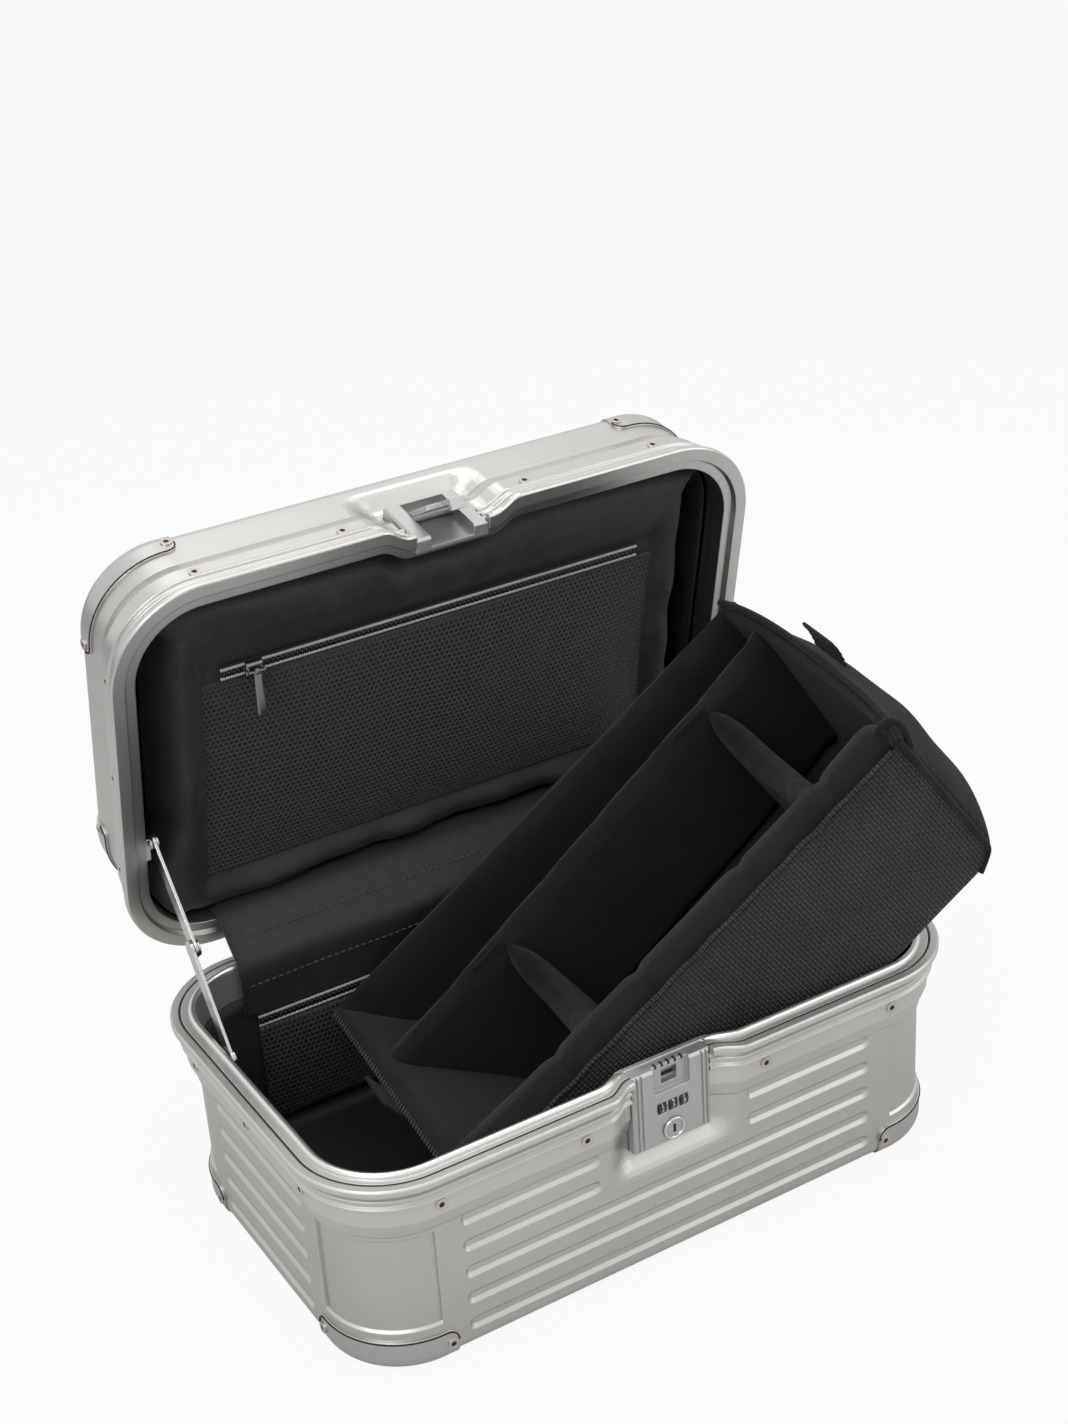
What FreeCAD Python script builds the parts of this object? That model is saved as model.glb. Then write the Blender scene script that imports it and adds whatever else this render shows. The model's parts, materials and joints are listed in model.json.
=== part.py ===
import FreeCAD, Part
import math
import os

# Whole case: +Z up, front to -Y, origin at the centre of the underside
case_length = 360.0
case_depth = 220.0
base_height = 111.5
lid_height = 61.5
lip_radius = 49.0
lid_open_angle = 78.0

# Clearances and spare length of cutting tools
part_gap = 0.3
running_gap = 0.05
overrun = 20.0
skin = 0.01

# Pressed shells
shell_inset = 9.0
wall = 1.5
shell_edge_radius = 7.0
channel_height = 7.2
channel_depth = 1.5
channel_bevel = 2.0
channel_pitch = 15.2
channel_first = 36.0
channel_rows = 5
channel_split_rows = 2
channel_margin = 13.5
channel_jog_gap = 4.0
roof_channel_margin = 25.0
roof_channel_pitch = 28.0
roof_channel_rows = 2
underside_margin = 6.0
panel_depth = 1.3
panel_bevel = 2.2
panel_top = 36.0
panel_floor_margin = 23.0
recess_fade = 13.0
recess_steps = 6
roof_recess_margin = 3.2
roof_recess_fade = 12.0

# Rim frames, measured inwards from the lip and away from the parting plane
frame_width = 13.0
inner_leg = 18.0
slot_top = 6.0
skirt_drop = 33.0
skirt_flat = 24.0
skirt_inset = 5.4
ridge_inset = 3.1
neck_inset = 4.5
upper_ridge = 8.6
lower_ridge = 13.2
ridge_half = 0.6
ridge_slope = 0.9
lip_height = 4.0
lip_round = 0.7
seal_near = 4.2
seal_width = 1.2
seal_depth = 1.5
lid_step = 7.0
lid_step_run = 1.0
lid_step_rise = 2.6
jog_depth = 7.0
jog_half = 23.0
jog_run = 15.0

# Corner caps and rivets
cap_thickness = 1.0
cap_height = 17.0
cap_reach = 7.0
cap_round = 6.0
rivet_radius = 2.9
rivet_bore = 1.4
rivet_head = 0.8
rivet_level = 18.5
rivet_jog_gap = 13.0
rivet_hinge_gap = 22.0
rivet_margin = 3.0
cap_rivet_inset = 3.5
cap_rivet_level = 9.0

# Combination lock on the base
lock_width = 44.0
lock_height = 44.0
lock_front = 10.0
lock_top_gap = 0.4
lock_edge = 1.2
lock_rib_width = 2.4
lock_rib_depth = 0.9
window_width = 20.4
window_height = 14.0
window_depth = 2.6
socket_width = 9.0
socket_height = 8.0
socket_sill = 3.0
dial_radius = 3.9
dial_width = 4.4
dial_pitch = 6.2
dial_proud = 0.9
dial_drop = 22.8
dial_teeth = 10
dial_tooth = 0.35
axle_radius = 0.9
axle_seat = 2.0
key_radius = 3.9
key_ring = 1.2
key_ring_rise = 0.8
key_drop = 36.4
key_slot_width = 1.0
key_slot_length = 4.6
key_slot_depth = 2.0
catch_bar = 1.6

# Draw latch on the lid
latch_width = 40.0
latch_height = 34.0
latch_clear = 0.8
cheek_width = 8.0
latch_back = 2.0
lever_thickness = 2.6
lever_pivot_rise = 24.0
lever_pivot_back = 5.0
lever_pin_radius = 1.3
lever_eye = 2.8
lever_reach = 33.6
lever_tip = 25.0
claw_width = 7.6
claw_length = 3.4
claw_height = 2.6
lever_open_angle = 38.0

# Hinges at the back
hinge_offset = 7.4
hinge_margin = 14.0
hinge_half = 22.0
knuckle_split = 7.5
knuckle_radius = 4.0
pin_radius = 2.0
leaf_low = 27.0
leaf_high = 16.0
leaf_thickness = 3.6

# Lid stay at the left end
stay_setback = 80.4
stay_rise = 7.0
stay_slack = 0.05
link_half = 4.2
link_eye = 4.7
link_thickness = 1.5
link_gap = 0.35
stay_pin_radius = 2.0
bracket_half = 6.5
bracket_thickness = 2.2
stay_head = 0.9
spacer_radius = 3.3

# Linings and pockets
lining_gap = 0.4
lining = 2.0
panel_level = 14.0
panel_thickness = 3.0
panel_clear = 0.3
mesh_margin = 40.0
mesh_back_room = 23.0
mesh_thickness = 1.6
zip_margin = 11.0
zip_front_room = 54.0
zip_width = 9.0
zip_thickness = 1.2
slider_inset = 17.0
slider_length = 9.0
slider_width = 7.0
slider_height = 3.4
bail_height = 2.0
bail_radius = 0.7
puller_length = 24.0
puller_width = 6.0
puller_thickness = 1.2
pocket_margin = 46.0
pocket_rise = 8.0
pocket_drop = 37.5
pocket_thickness = 2.4
pocket_zip_width = 8.0
flap_margin = 48.0
flap_thickness = 1.4
flap_gap = 0.5

# Carry handle on the lid's roof
handle_span = 128.0
handle_reach = 27.0
grip_width = 17.0
grip_height = 12.0
arm_width = 9.0
arm_height = 7.0
handle_axis_back = 13.0
handle_axis_rise = 9.0
handle_pin_radius = 2.2
ear_thickness = 4.0
ear_half = 7.0
ear_foot = 3.0
ear_foot_length = 26.0

# Padded divider insert, tilted in the base
insert_tilt = 37.0
insert_yaw = -6.0
insert_length_room = 92.0
insert_lean = 47.0
insert_side_room = 40.0
insert_height = 106.0
insert_wall = 6.0
insert_skin = 4.0
insert_pad = 14.0
insert_bow = 14.0
insert_rim_room = 29.53
insert_heel_room = 23.4
long_divider_shares = (0.64, 0.79)
divider_thickness = 9.0
long_divider_drop = 4.0
cross_divider_shares = (0.168, 0.792)
cross_divider_drop = 8.0
cross_divider_dip = 15.0
tab_width = 26.0
tab_height = 10.0
tab_thickness = 2.0

# Values that follow
half_length = case_length / 2
half_depth = case_depth / 2
straight_x = half_length - lip_radius
straight_y = half_depth - lip_radius
jog_end = jog_half + jog_run
shell_length = case_length - 2 * shell_inset
shell_depth = case_depth - 2 * shell_inset
shell_radius = lip_radius - shell_inset
shell_front = -shell_depth / 2
slot_inner = shell_inset + wall
seal_far = seal_near + seal_width
hinge_y = half_depth + hinge_offset
hinge_point = FreeCAD.Vector(0, hinge_y, base_height)
base_shell_height = base_height - cap_thickness
lid_shell_height = lid_height - cap_thickness
lining_inset = wall + channel_depth + lining_gap
lining_inner = lining_inset + lining
lining_top = inner_leg + part_gap
floor_top = cap_thickness + lining_inner
lock_back_y = -half_depth + jog_depth + slot_inner - skin
lock_front_y = -half_depth + lock_front
latch_front_y = -half_depth + lock_front - part_gap

recess_straight = lock_height
roof_recess_straight = latch_clear + latch_height + roof_recess_margin
channel_lock_gap = jog_end + channel_jog_gap
rivet_rows = (jog_end + rivet_jog_gap, straight_x - rivet_margin)
rivet_side_rows = (0, straight_y - rivet_margin)
hinge_place = straight_x - hinge_margin - hinge_half
rivet_back_rows = (hinge_place - hinge_half - rivet_hinge_gap, straight_x - rivet_margin)
mesh_length = shell_length - 2 * mesh_margin
mesh_high = shell_depth / 2 - mesh_back_room
zip_length = mesh_length - 2 * zip_margin
zip_place = shell_front + zip_front_room
mesh_low = zip_place + zip_width / 2
slider_place = -zip_length / 2 + slider_inset
pocket_length = shell_length - 2 * pocket_margin
pocket_low = floor_top + pocket_rise
pocket_high = base_height - pocket_drop
flap_length = case_length - 2 * flap_margin
insert_floor_length = shell_length - insert_length_room
insert_depth = shell_depth - insert_side_room
insert_run = (base_height - floor_top) / math.tan(math.radians(insert_tilt))
insert_heel_x = half_length - frame_width - insert_rim_room - insert_run
insert_heel_y = shell_front + insert_heel_room

across = FreeCAD.Vector(1, 0, 0)
inward = FreeCAD.Vector(0, 1, 0)
upward = FreeCAD.Vector(0, 0, 1)
centre = FreeCAD.Vector(0, 0, 0)


def vec(x, y, z):
    return FreeCAD.Vector(x, y, z)


def box(x0, x1, y0, y1, z0, z1):
    return Part.makeBox(x1 - x0, y1 - y0, z1 - z0, vec(x0, y0, z0))


def rod(start, direction, radius, length):
    return Part.makeCylinder(radius, length, start, direction)


def slab(points, direction):
    face = Part.Face(Part.makePolygon(points + [points[0]]))
    return face.extrude(direction)


def fused(shapes):
    shape = shapes[0].multiFuse(shapes[1:]) if len(shapes) > 1 else shapes[0]
    return shape.removeSplitter()


def moved(shape, offset):
    copy = shape.copy()
    copy.translate(offset)
    return copy


def turned(shape, point, axis, angle):
    copy = shape.copy()
    copy.rotate(point, axis, angle)
    return copy


def rounded_outline(length, depth, radius, z):
    x, y = length / 2 - radius, depth / 2 - radius
    edges = []
    start = None
    for turn, (cx, cy) in enumerate(((x, y), (-x, y), (-x, -y), (x, -y))):
        angles = [math.radians(90 * turn + step) for step in (0, 45, 90)]
        arc = [vec(cx + radius * math.cos(a), cy + radius * math.sin(a), z) for a in angles]
        if start:
            edges.append(Part.LineSegment(start, arc[0]).toShape())
        edges.append(Part.Arc(*arc).toShape())
        first = arc[0] if turn == 0 else first
        start = arc[2]
    edges.append(Part.LineSegment(start, first).toShape())
    return Part.Wire(edges)


def rounded_block(inset, z0, z1):
    sides = (shell_length - 2 * inset, shell_depth - 2 * inset, shell_radius - inset)
    return Part.Face(rounded_outline(*sides, z0)).extrude(vec(0, 0, z1 - z0))


def tray_block(inset, floor_z, top_z):
    block = rounded_block(inset, floor_z, top_z)
    low = [edge for edge in block.Edges if edge.BoundBox.ZMax < floor_z + skin]
    return block.makeFillet(shell_edge_radius - inset, low)


# The rim steps inwards at the lock: share of the step at each place along the front
def jog_line():
    line = []
    for step in range(recess_steps + 1):
        share = step / recess_steps
        x = jog_half + jog_run * (1 - share)
        line.append((-x, share * share * (3 - 2 * share)))
    return line + [(-x, share) for x, share in reversed(line)]


def recess(straight, fade, inset):
    end = jog_half + jog_run
    wires = []
    levels = [(overrun, 1.0), (-straight, 1.0)]
    for step in range(1, recess_steps + 1):
        share = step / recess_steps
        levels.append((-straight - fade * share, 1 - share * share * (3 - 2 * share)))
    for z, depth_share in levels:
        points = [vec(x, shell_front + jog_depth * share * depth_share, z) for x, share in jog_line()]
        points += [vec(end, shell_front - overrun, z), vec(-end, shell_front - overrun, z)]
        wires.append(Part.makePolygon(points + [points[0]]))
    return moved(Part.makeLoft(wires, True, True), vec(0, inset, -inset))


def stadium(length, height, y):
    x, r = length / 2 - height / 2, height / 2
    top = Part.LineSegment(vec(x, y, r), vec(-x, y, r)).toShape()
    left = Part.Arc(vec(-x, y, r), vec(-x - r, y, 0), vec(-x, y, -r)).toShape()
    low = Part.LineSegment(vec(-x, y, -r), vec(x, y, -r)).toShape()
    right = Part.Arc(vec(x, y, -r), vec(x + r, y, 0), vec(x, y, r)).toShape()
    return Part.Wire([top, left, low, right])


def channel(length):
    outer = stadium(length + 2 * channel_bevel, channel_height + 2 * channel_bevel, -channel_depth)
    inner = stadium(length - 2 * channel_bevel, channel_height - 2 * channel_bevel, channel_depth)
    return Part.makeLoft([outer, inner], True, True)


# Channels on one wall: each is (centre along the wall, length, depth below the parting plane)
def wall_channels(runs, face, angle, inset):
    tools = []
    for place, length, level in runs:
        tool = moved(channel(length), vec(place, -face + inset, -level))
        tools.append(turned(tool, centre, upward, angle))
    return tools


def base_channels(inset):
    front_half = shell_length / 2 - shell_radius - channel_margin
    side_half = shell_depth / 2 - shell_radius - channel_margin
    levels = [channel_first + channel_pitch * row for row in range(channel_rows)]
    full = [(0, 2 * front_half, level) for level in levels]
    split_length = front_half - channel_lock_gap
    split_place = (front_half + channel_lock_gap) / 2
    split = [(side * split_place, split_length, level)
             for level in levels[:channel_split_rows] for side in (-1, 1)]
    sides = [(0, 2 * side_half, level) for level in levels]
    tools = wall_channels(split + full[channel_split_rows:], shell_depth / 2, 0, inset)
    tools += wall_channels(full, shell_depth / 2, 180, inset)
    tools += wall_channels(sides, shell_length / 2, -90, inset)
    tools += wall_channels(sides, shell_length / 2, 90, inset)
    return tools


def roof_channels(inset):
    length = shell_length - 2 * shell_radius
    tools = []
    for row in range(roof_channel_rows):
        place = shell_depth / 2 - roof_channel_margin - roof_channel_pitch * row
        for side in (-1, 1):
            tool = turned(channel(length), centre, across, 90)
            tools.append(moved(tool, vec(0, side * place, -lid_shell_height + inset)))
    return tools


def corner_centres(radius, length, depth):
    x, y = length / 2 - radius, depth / 2 - radius
    return ((x, y), (-x, y), (-x, -y), (x, -y))


# Shallow panel pressed round each upright corner
def corner_panels(height, inset):
    radius = shell_radius - inset
    low, high = -height + panel_floor_margin, -panel_top
    points = ((radius - panel_depth, low), (radius - panel_depth, high),
              (radius + panel_depth, high + panel_bevel), (radius + panel_depth, low - panel_bevel))
    tools = []
    for turn, (x, y) in enumerate(corner_centres(shell_radius, shell_length, shell_depth)):
        profile = [vec(x + r, y, z) for r, z in points]
        face = Part.Face(Part.makePolygon(profile + [profile[0]]))
        sector = face.revolve(vec(x, y, 0), upward, 90)
        tools.append(turned(sector, vec(x, y, 0), upward, 90 * turn))
    return tools


# Flat panel pressed out of the underside, level with the corner caps
def underside_panel(inset):
    x = straight_x - cap_reach - underside_margin - inset
    y = shell_depth / 2 - shell_edge_radius - underside_margin - inset
    low = -base_shell_height - cap_thickness + inset
    return box(-x, x, -y, y, low, low + cap_thickness + wall)


def pressed_shell(height, straight, fade, presses):
    outer = tray_block(0, -height, -slot_top)
    inner = tray_block(wall, -height + wall, overrun)
    for inset, block in ((0, outer), (wall, inner)):
        tools = [recess(straight, fade, inset)] + presses(inset)
        cut = block.cut(tools)
        cut = cut.fuse(underside_panel(inset)).removeSplitter() if height == base_shell_height else cut
        outer, inner = (cut, inner) if inset == 0 else (outer, cut)
    return outer.cut(inner)


def frame_section(profile):
    return [(u, -h) for u, h in profile]


def base_profile():
    return frame_section([
        (lip_round, 0), (seal_near, 0), (seal_near, seal_depth), (seal_far, seal_depth), (seal_far, 0),
        (frame_width, 0)] + frame_back())


def lid_profile():
    return frame_section([
        (lip_round, part_gap), (lid_step, part_gap), (lid_step + lid_step_run, lid_step_rise),
        (frame_width, lid_step_rise)] + frame_back())


# The part of the section that both frames share, from the inner leg round to the lip
def frame_back():
    points = [(frame_width, inner_leg), (slot_inner, inner_leg), (slot_inner, slot_top),
              (shell_inset, slot_top), (shell_inset, skirt_drop), (skirt_inset, skirt_flat)]
    for ridge, before in ((lower_ridge, skirt_inset), (upper_ridge, neck_inset)):
        points += [(before, ridge + ridge_half + ridge_slope), (ridge_inset, ridge + ridge_half),
                   (ridge_inset, ridge - ridge_half), (neck_inset, ridge - ridge_half - ridge_slope)]
    return points + [(neck_inset, lip_height + lip_round), (lip_round, lip_height),
                     (0, lip_height - lip_round), (0, part_gap + lip_round)]


def section_wire(profile, place):
    points = [place(u, z) for u, z in profile]
    return Part.makePolygon(points + [points[0]])


def rim_ring(profile):
    end = jog_end
    parts = []
    for turn, (x, y) in enumerate(corner_centres(lip_radius, case_length, case_depth)):
        wire = section_wire(profile, lambda u, z: vec(x + lip_radius - u, y, z))
        sector = Part.Face(wire).revolve(vec(x, y, 0), upward, 90)
        parts.append(turned(sector, vec(x, y, 0), upward, 90 * turn))
    front = Part.Face(section_wire(profile, lambda u, z: vec(0, -half_depth + u, z)))
    runs = ((-straight_x, -end, 0), (end, straight_x, 0), (-jog_half, jog_half, jog_depth))
    for start, stop, step_in in runs:
        parts.append(moved(front.extrude(vec(stop - start, 0, 0)), vec(start, step_in, 0)))
    line = jog_line()
    for flank in (line[:recess_steps + 1], line[recess_steps + 1:]):
        wires = [section_wire(profile, lambda u, z: vec(x, -half_depth + u + jog_depth * share, z))
                 for x, share in flank]
        parts.append(Part.makeLoft(wires, True, True))
    back = Part.Face(section_wire(profile, lambda u, z: vec(-straight_x, half_depth - u, z)))
    parts.append(back.extrude(vec(2 * straight_x, 0, 0)))
    for side in (-1, 1):
        wire = section_wire(profile, lambda u, z: vec(side * (half_length - u), -straight_y, z))
        parts.append(Part.Face(wire).extrude(vec(0, 2 * straight_y, 0)))
    return fused(parts)


# One corner cap over the shell's corner, in the base's attitude under the parting plane
def corner_cap(height, turn):
    grown = tray_block(-cap_thickness, -height - cap_thickness, -height + cap_height)
    core = tray_block(0, -height, overrun)
    reach_x = half_length - lip_radius - cap_reach
    reach_y = half_depth - lip_radius - cap_reach
    sides = ((1, 1), (-1, 1), (-1, -1), (1, -1))[turn]
    x = sorted((sides[0] * reach_x, sides[0] * half_length))
    y = sorted((sides[1] * reach_y, sides[1] * half_depth))
    region = box(*x, *y, -height - overrun, -height + cap_height)
    ends = []
    for edge in region.Edges:
        middle = edge.CenterOfMass
        at_top = middle.z > -height + cap_height - skin
        at_end = abs(abs(middle.x) - reach_x) < skin or abs(abs(middle.y) - reach_y) < skin
        ends += [edge] if at_top and at_end else []
    return grown.common(region.makeFillet(cap_round, ends)).cut(core)


# Hollow rivet head standing on a face
def rivet(point, outward):
    head = rod(point, outward, rivet_radius, rivet_head)
    return head.cut(rod(point, outward, rivet_bore, overrun))


def frame_rivets():
    heads = []
    level = -rivet_level
    face_y, face_x = half_depth - skirt_inset, half_length - skirt_inset
    for side in (-1, 1):
        heads += [rivet(vec(side * x, -face_y, level), -inward) for x in rivet_rows]
        heads += [rivet(vec(side * x, face_y, level), inward) for x in rivet_back_rows]
        heads += [rivet(vec(side * face_x, y, level), side * across) for y in sorted(
            {s * place for place in rivet_side_rows for s in (-1, 1)})]
    return Part.makeCompound(heads)


def cap_rivets(height):
    heads = []
    level = -height + cap_rivet_level
    x = half_length - lip_radius - cap_reach + cap_rivet_inset
    y = half_depth - lip_radius - cap_reach + cap_rivet_inset
    face_x, face_y = shell_length / 2 + cap_thickness, shell_depth / 2 + cap_thickness
    for sx in (-1, 1):
        for sy in (-1, 1):
            heads.append(rivet(vec(sx * x, sy * face_y, level), sy * inward))
            heads.append(rivet(vec(sx * face_x, sy * y, level), sx * across))
    return Part.makeCompound(heads)


# Fabric lining: thin tray inside a shell, open at the parting plane
def lining_tray(height, straight, fade):
    outer = tray_block(lining_inset, -height + lining_inset, -lining_top)
    inner = tray_block(lining_inner, -height + lining_inner, overrun)
    outer = outer.cut(recess(straight, fade, lining_inset))
    inner = inner.cut(recess(straight, fade, lining_inner))
    return outer.cut(inner)


def to_base(shape):
    return moved(shape, vec(0, 0, base_height))


def to_lid(shape):
    return moved(shape.mirror(centre, upward), vec(0, 0, base_height))


def opened(shape):
    return turned(shape, hinge_point, across, -lid_open_angle)


nodes = {}

# Cut-outs through shell and frame for the lock and the latch
lock_bottom = base_height - lock_top_gap - lock_height
lock_cut = box(-lock_width / 2 - part_gap, lock_width / 2 + part_gap, -half_depth - overrun,
               lock_back_y + skin, -lock_top_gap - lock_height - part_gap, overrun)
latch_cut = box(-latch_width / 2 - part_gap, latch_width / 2 + part_gap, -half_depth - overrun,
                lock_back_y + skin, -latch_clear - latch_height - part_gap, overrun)

# Base: shell, rim frame, seal, caps, rivets and lining
base_presses = lambda inset: base_channels(inset) + corner_panels(base_shell_height, inset)
lid_presses = lambda inset: roof_channels(inset)
base_shell = pressed_shell(base_shell_height, recess_straight, recess_fade, base_presses)
nodes["base_shell"] = to_base(base_shell.cut(lock_cut))
nodes["base_frame"] = to_base(rim_ring(base_profile()).cut(lock_cut))
seal_section = frame_section([(seal_near, 0), (seal_near, seal_depth), (seal_far, seal_depth), (seal_far, 0)])
nodes["rim_seal"] = to_base(rim_ring(seal_section).cut(lock_cut))
cap_names = ("back_right", "back_left", "front_left", "front_right")
for turn, name in enumerate(cap_names):
    nodes["base_cap_" + name] = to_base(corner_cap(base_shell_height, turn))
nodes["base_frame_rivets"] = to_base(frame_rivets())
nodes["base_cap_rivets"] = to_base(cap_rivets(base_shell_height))
nodes["base_lining"] = to_base(lining_tray(base_shell_height, recess_straight, recess_fade))

# Lid: the same pieces above the parting plane, swung open
lid_shell = pressed_shell(lid_shell_height, roof_recess_straight, roof_recess_fade, lid_presses)
nodes["lid_shell"] = opened(to_lid(lid_shell.cut(latch_cut)))
nodes["lid_frame"] = opened(to_lid(rim_ring(lid_profile()).cut(latch_cut)))
for turn, name in enumerate(cap_names):
    nodes["lid_cap_" + name] = opened(to_lid(corner_cap(lid_shell_height, turn)))
nodes["lid_frame_rivets"] = opened(to_lid(frame_rivets()))
nodes["lid_cap_rivets"] = opened(to_lid(cap_rivets(lid_shell_height)))
nodes["lid_lining"] = opened(to_lid(lining_tray(lid_shell_height, roof_recess_straight, roof_recess_fade)))


# Lock body with its window, hook socket, dial slots and key bore
def lock_parts():
    top = base_height - lock_top_gap
    half = lock_width / 2
    front, back = lock_front_y, lock_back_y
    body = box(-half, half, front, back, lock_bottom, top)
    edges = [edge for edge in body.Edges if edge.BoundBox.YMax < front + skin]
    body = body.makeChamfer(lock_edge, edges)
    cuts = []
    for side in (-1, 1):
        for row in (1, 3):
            x = side * (half - lock_edge - lock_rib_width * row / 2)
            cuts.append(box(x - lock_rib_width / 4, x + lock_rib_width / 4, front - overrun,
                            front + lock_rib_depth, lock_bottom - overrun, top + overrun))
    window_sill = top - window_height
    cuts.append(box(-window_width / 2, window_width / 2, front - overrun, front + window_depth,
                    window_sill, top + overrun))
    socket_floor = window_sill + socket_sill
    socket_back = back - lock_edge
    cuts.append(box(-socket_width / 2, socket_width / 2, front, socket_back,
                    socket_floor, socket_floor + socket_height))
    dial_y = front - dial_proud + dial_radius
    dial_z = top - dial_drop
    slot = dial_radius + part_gap
    for place in (-1, 0, 1):
        half_slot = dial_width / 2 + part_gap
        middle = place * dial_pitch
        cuts.append(rod(vec(middle - half_slot, dial_y, dial_z), across, slot, 2 * half_slot))
    key_z = top - key_drop
    ring = rod(vec(0, front - key_ring_rise, key_z), inward, key_radius + key_ring, key_ring_rise)
    body = body.cut(cuts).fuse(ring)
    key_back = back - lock_edge
    key_room = rod(vec(0, front - overrun, key_z), inward, key_radius + running_gap,
                   overrun + key_back - front)
    axle_half = 1.5 * dial_pitch + axle_seat
    axle_hole = rod(vec(-axle_half, dial_y, dial_z), across, axle_radius, 2 * axle_half)
    nodes["lock_body"] = body.cut([key_room, axle_hole]).removeSplitter()
    nodes["dial_axle"] = axle_hole
    for number, place in enumerate((-1, 0, 1), 1):
        nodes["number_dial_%d" % number] = number_dial(place * dial_pitch, dial_y, dial_z)
    cylinder = rod(vec(0, front - key_ring_rise, key_z), inward, key_radius, key_back - front + key_ring_rise)
    slot_box = box(-key_slot_width / 2, key_slot_width / 2, front - overrun,
                   front - key_ring_rise + key_slot_depth,
                   key_z - key_slot_length / 2, key_z + key_slot_length / 2)
    nodes["key_cylinder"] = cylinder.cut(slot_box)
    catch_z = socket_floor + socket_height - catch_bar
    nodes["lock_catch"] = box(-socket_width / 2, socket_width / 2, socket_back - catch_bar, socket_back,
                              catch_z - catch_bar, catch_z)


# Thumb dial with shallow finger teeth round its rim
def number_dial(x, y, z):
    start = vec(x - dial_width / 2, y, z)
    dial = rod(start, across, dial_radius, dial_width)
    cuts = [rod(start - across * overrun, across, axle_radius + running_gap, dial_width + 2 * overrun)]
    for tooth in range(dial_teeth):
        angle = 2 * math.pi * tooth / dial_teeth
        place = start + vec(0, dial_radius * math.cos(angle), dial_radius * math.sin(angle))
        cuts.append(rod(place - across * overrun, across, dial_tooth, dial_width + 2 * overrun))
    return dial.cut(cuts)


lock_parts()


# Draw latch: housing with two cheeks, a pin, and a lever with a claw
def latch_parts():
    low = base_height + latch_clear
    high = low + latch_height
    half = latch_width / 2
    front, back = latch_front_y, lock_back_y
    housing = box(-half, half, front, back, low, high)
    edges = [edge for edge in housing.Edges if edge.BoundBox.YMax < front + skin]
    housing = housing.makeChamfer(lock_edge, edges)
    gap_half = half - cheek_width
    room = box(-gap_half, gap_half, front - overrun, back - latch_back, low - overrun, high - latch_back)
    pivot_y = back - lever_pivot_back
    pivot_z = base_height + lever_pivot_rise
    pin = rod(vec(-half + latch_back, pivot_y, pivot_z), across, lever_pin_radius, 2 * (half - latch_back))
    nodes["latch_housing"] = opened(housing.cut([room, pin]))
    nodes["latch_pin"] = opened(pin)
    wide = gap_half - part_gap
    eye = rod(vec(-wide, pivot_y, pivot_z), across, lever_eye, 2 * wide)
    plate_back = pivot_y - lever_eye + lever_thickness
    plate_front = plate_back - lever_thickness
    tip = pivot_z - lever_reach
    shoulder = tip + lever_tip
    plate = box(-wide, wide, plate_front, plate_back, base_height + latch_clear, pivot_z)
    tongue = box(-claw_width / 2, claw_width / 2, plate_front, plate_back, tip, shoulder)
    claw = box(-claw_width / 2, claw_width / 2, plate_back, plate_back + claw_length, tip, tip + claw_height)
    lever = fused([eye, plate, tongue, claw])
    lever = lever.cut(rod(vec(-half, pivot_y, pivot_z), across, lever_pin_radius + running_gap, latch_width))
    lever = turned(lever, vec(0, pivot_y, pivot_z), across, -lever_open_angle)
    nodes["latch_lever"] = opened(lever)


latch_parts()


# Hinges: bent leaves with interleaved knuckles and a headed pin
def leaf_blank(x0, x1):
    band_y = half_depth - skirt_inset
    ridge_y = half_depth - ridge_inset + part_gap
    lip_y = half_depth + part_gap
    points = [(band_y, -leaf_low), (band_y + leaf_thickness, -leaf_low),
              (hinge_y + knuckle_radius, -knuckle_radius / 2), (hinge_y, 0),
              (lip_y + leaf_thickness / 2, -part_gap),
              (lip_y, -lip_height), (ridge_y + part_gap, -lower_ridge - ridge_slope), (band_y, -leaf_high)]
    return slab([vec(x0, y, z) for y, z in points], vec(x1 - x0, 0, 0))


def hinge_parts():
    base_leaves, lid_leaves, pins = [], [], []
    room = rod(vec(-case_length, hinge_y, 0), across, knuckle_radius + part_gap, 2 * case_length)
    bore = rod(vec(-case_length, hinge_y, 0), across, pin_radius + running_gap, 2 * case_length)
    seat = rod(vec(-case_length, hinge_y, 0), across, pin_radius, 2 * case_length)
    for side in (-1, 1):
        x = side * hinge_place
        outer = [(x - hinge_half, x - knuckle_split), (x + knuckle_split, x + hinge_half)]
        inner = (x - knuckle_split + part_gap, x + knuckle_split - part_gap)
        pieces = []
        for x0, x1 in outer:
            barrel = rod(vec(x0, hinge_y, 0), across, knuckle_radius, x1 - x0)
            pieces.append(leaf_blank(x0, x1).cut(room).fuse(barrel).fuse(leaf_web(x0, x1)))
        foot = box(x - hinge_half, x + hinge_half, half_depth - skirt_inset,
                   half_depth - skirt_inset + leaf_thickness / 2, -leaf_low, -leaf_high)
        base_leaves.append(fused(pieces + [foot]).cut(seat))
        barrel = rod(vec(inner[0], hinge_y, 0), across, knuckle_radius, inner[1] - inner[0])
        plate = leaf_blank(*inner).cut(room).fuse(barrel).fuse(leaf_web(*inner))
        lid_leaves.append(fused([plate, foot]).cut(bore))
        pins.append(rod(vec(x - hinge_half, hinge_y, 0), across, pin_radius, 2 * hinge_half))
    nodes["hinge_base_leaves"] = to_base(Part.makeCompound(base_leaves))
    nodes["hinge_lid_leaves"] = opened(to_lid(Part.makeCompound(lid_leaves)))
    nodes["hinge_pins"] = to_base(Part.makeCompound(pins))


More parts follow.
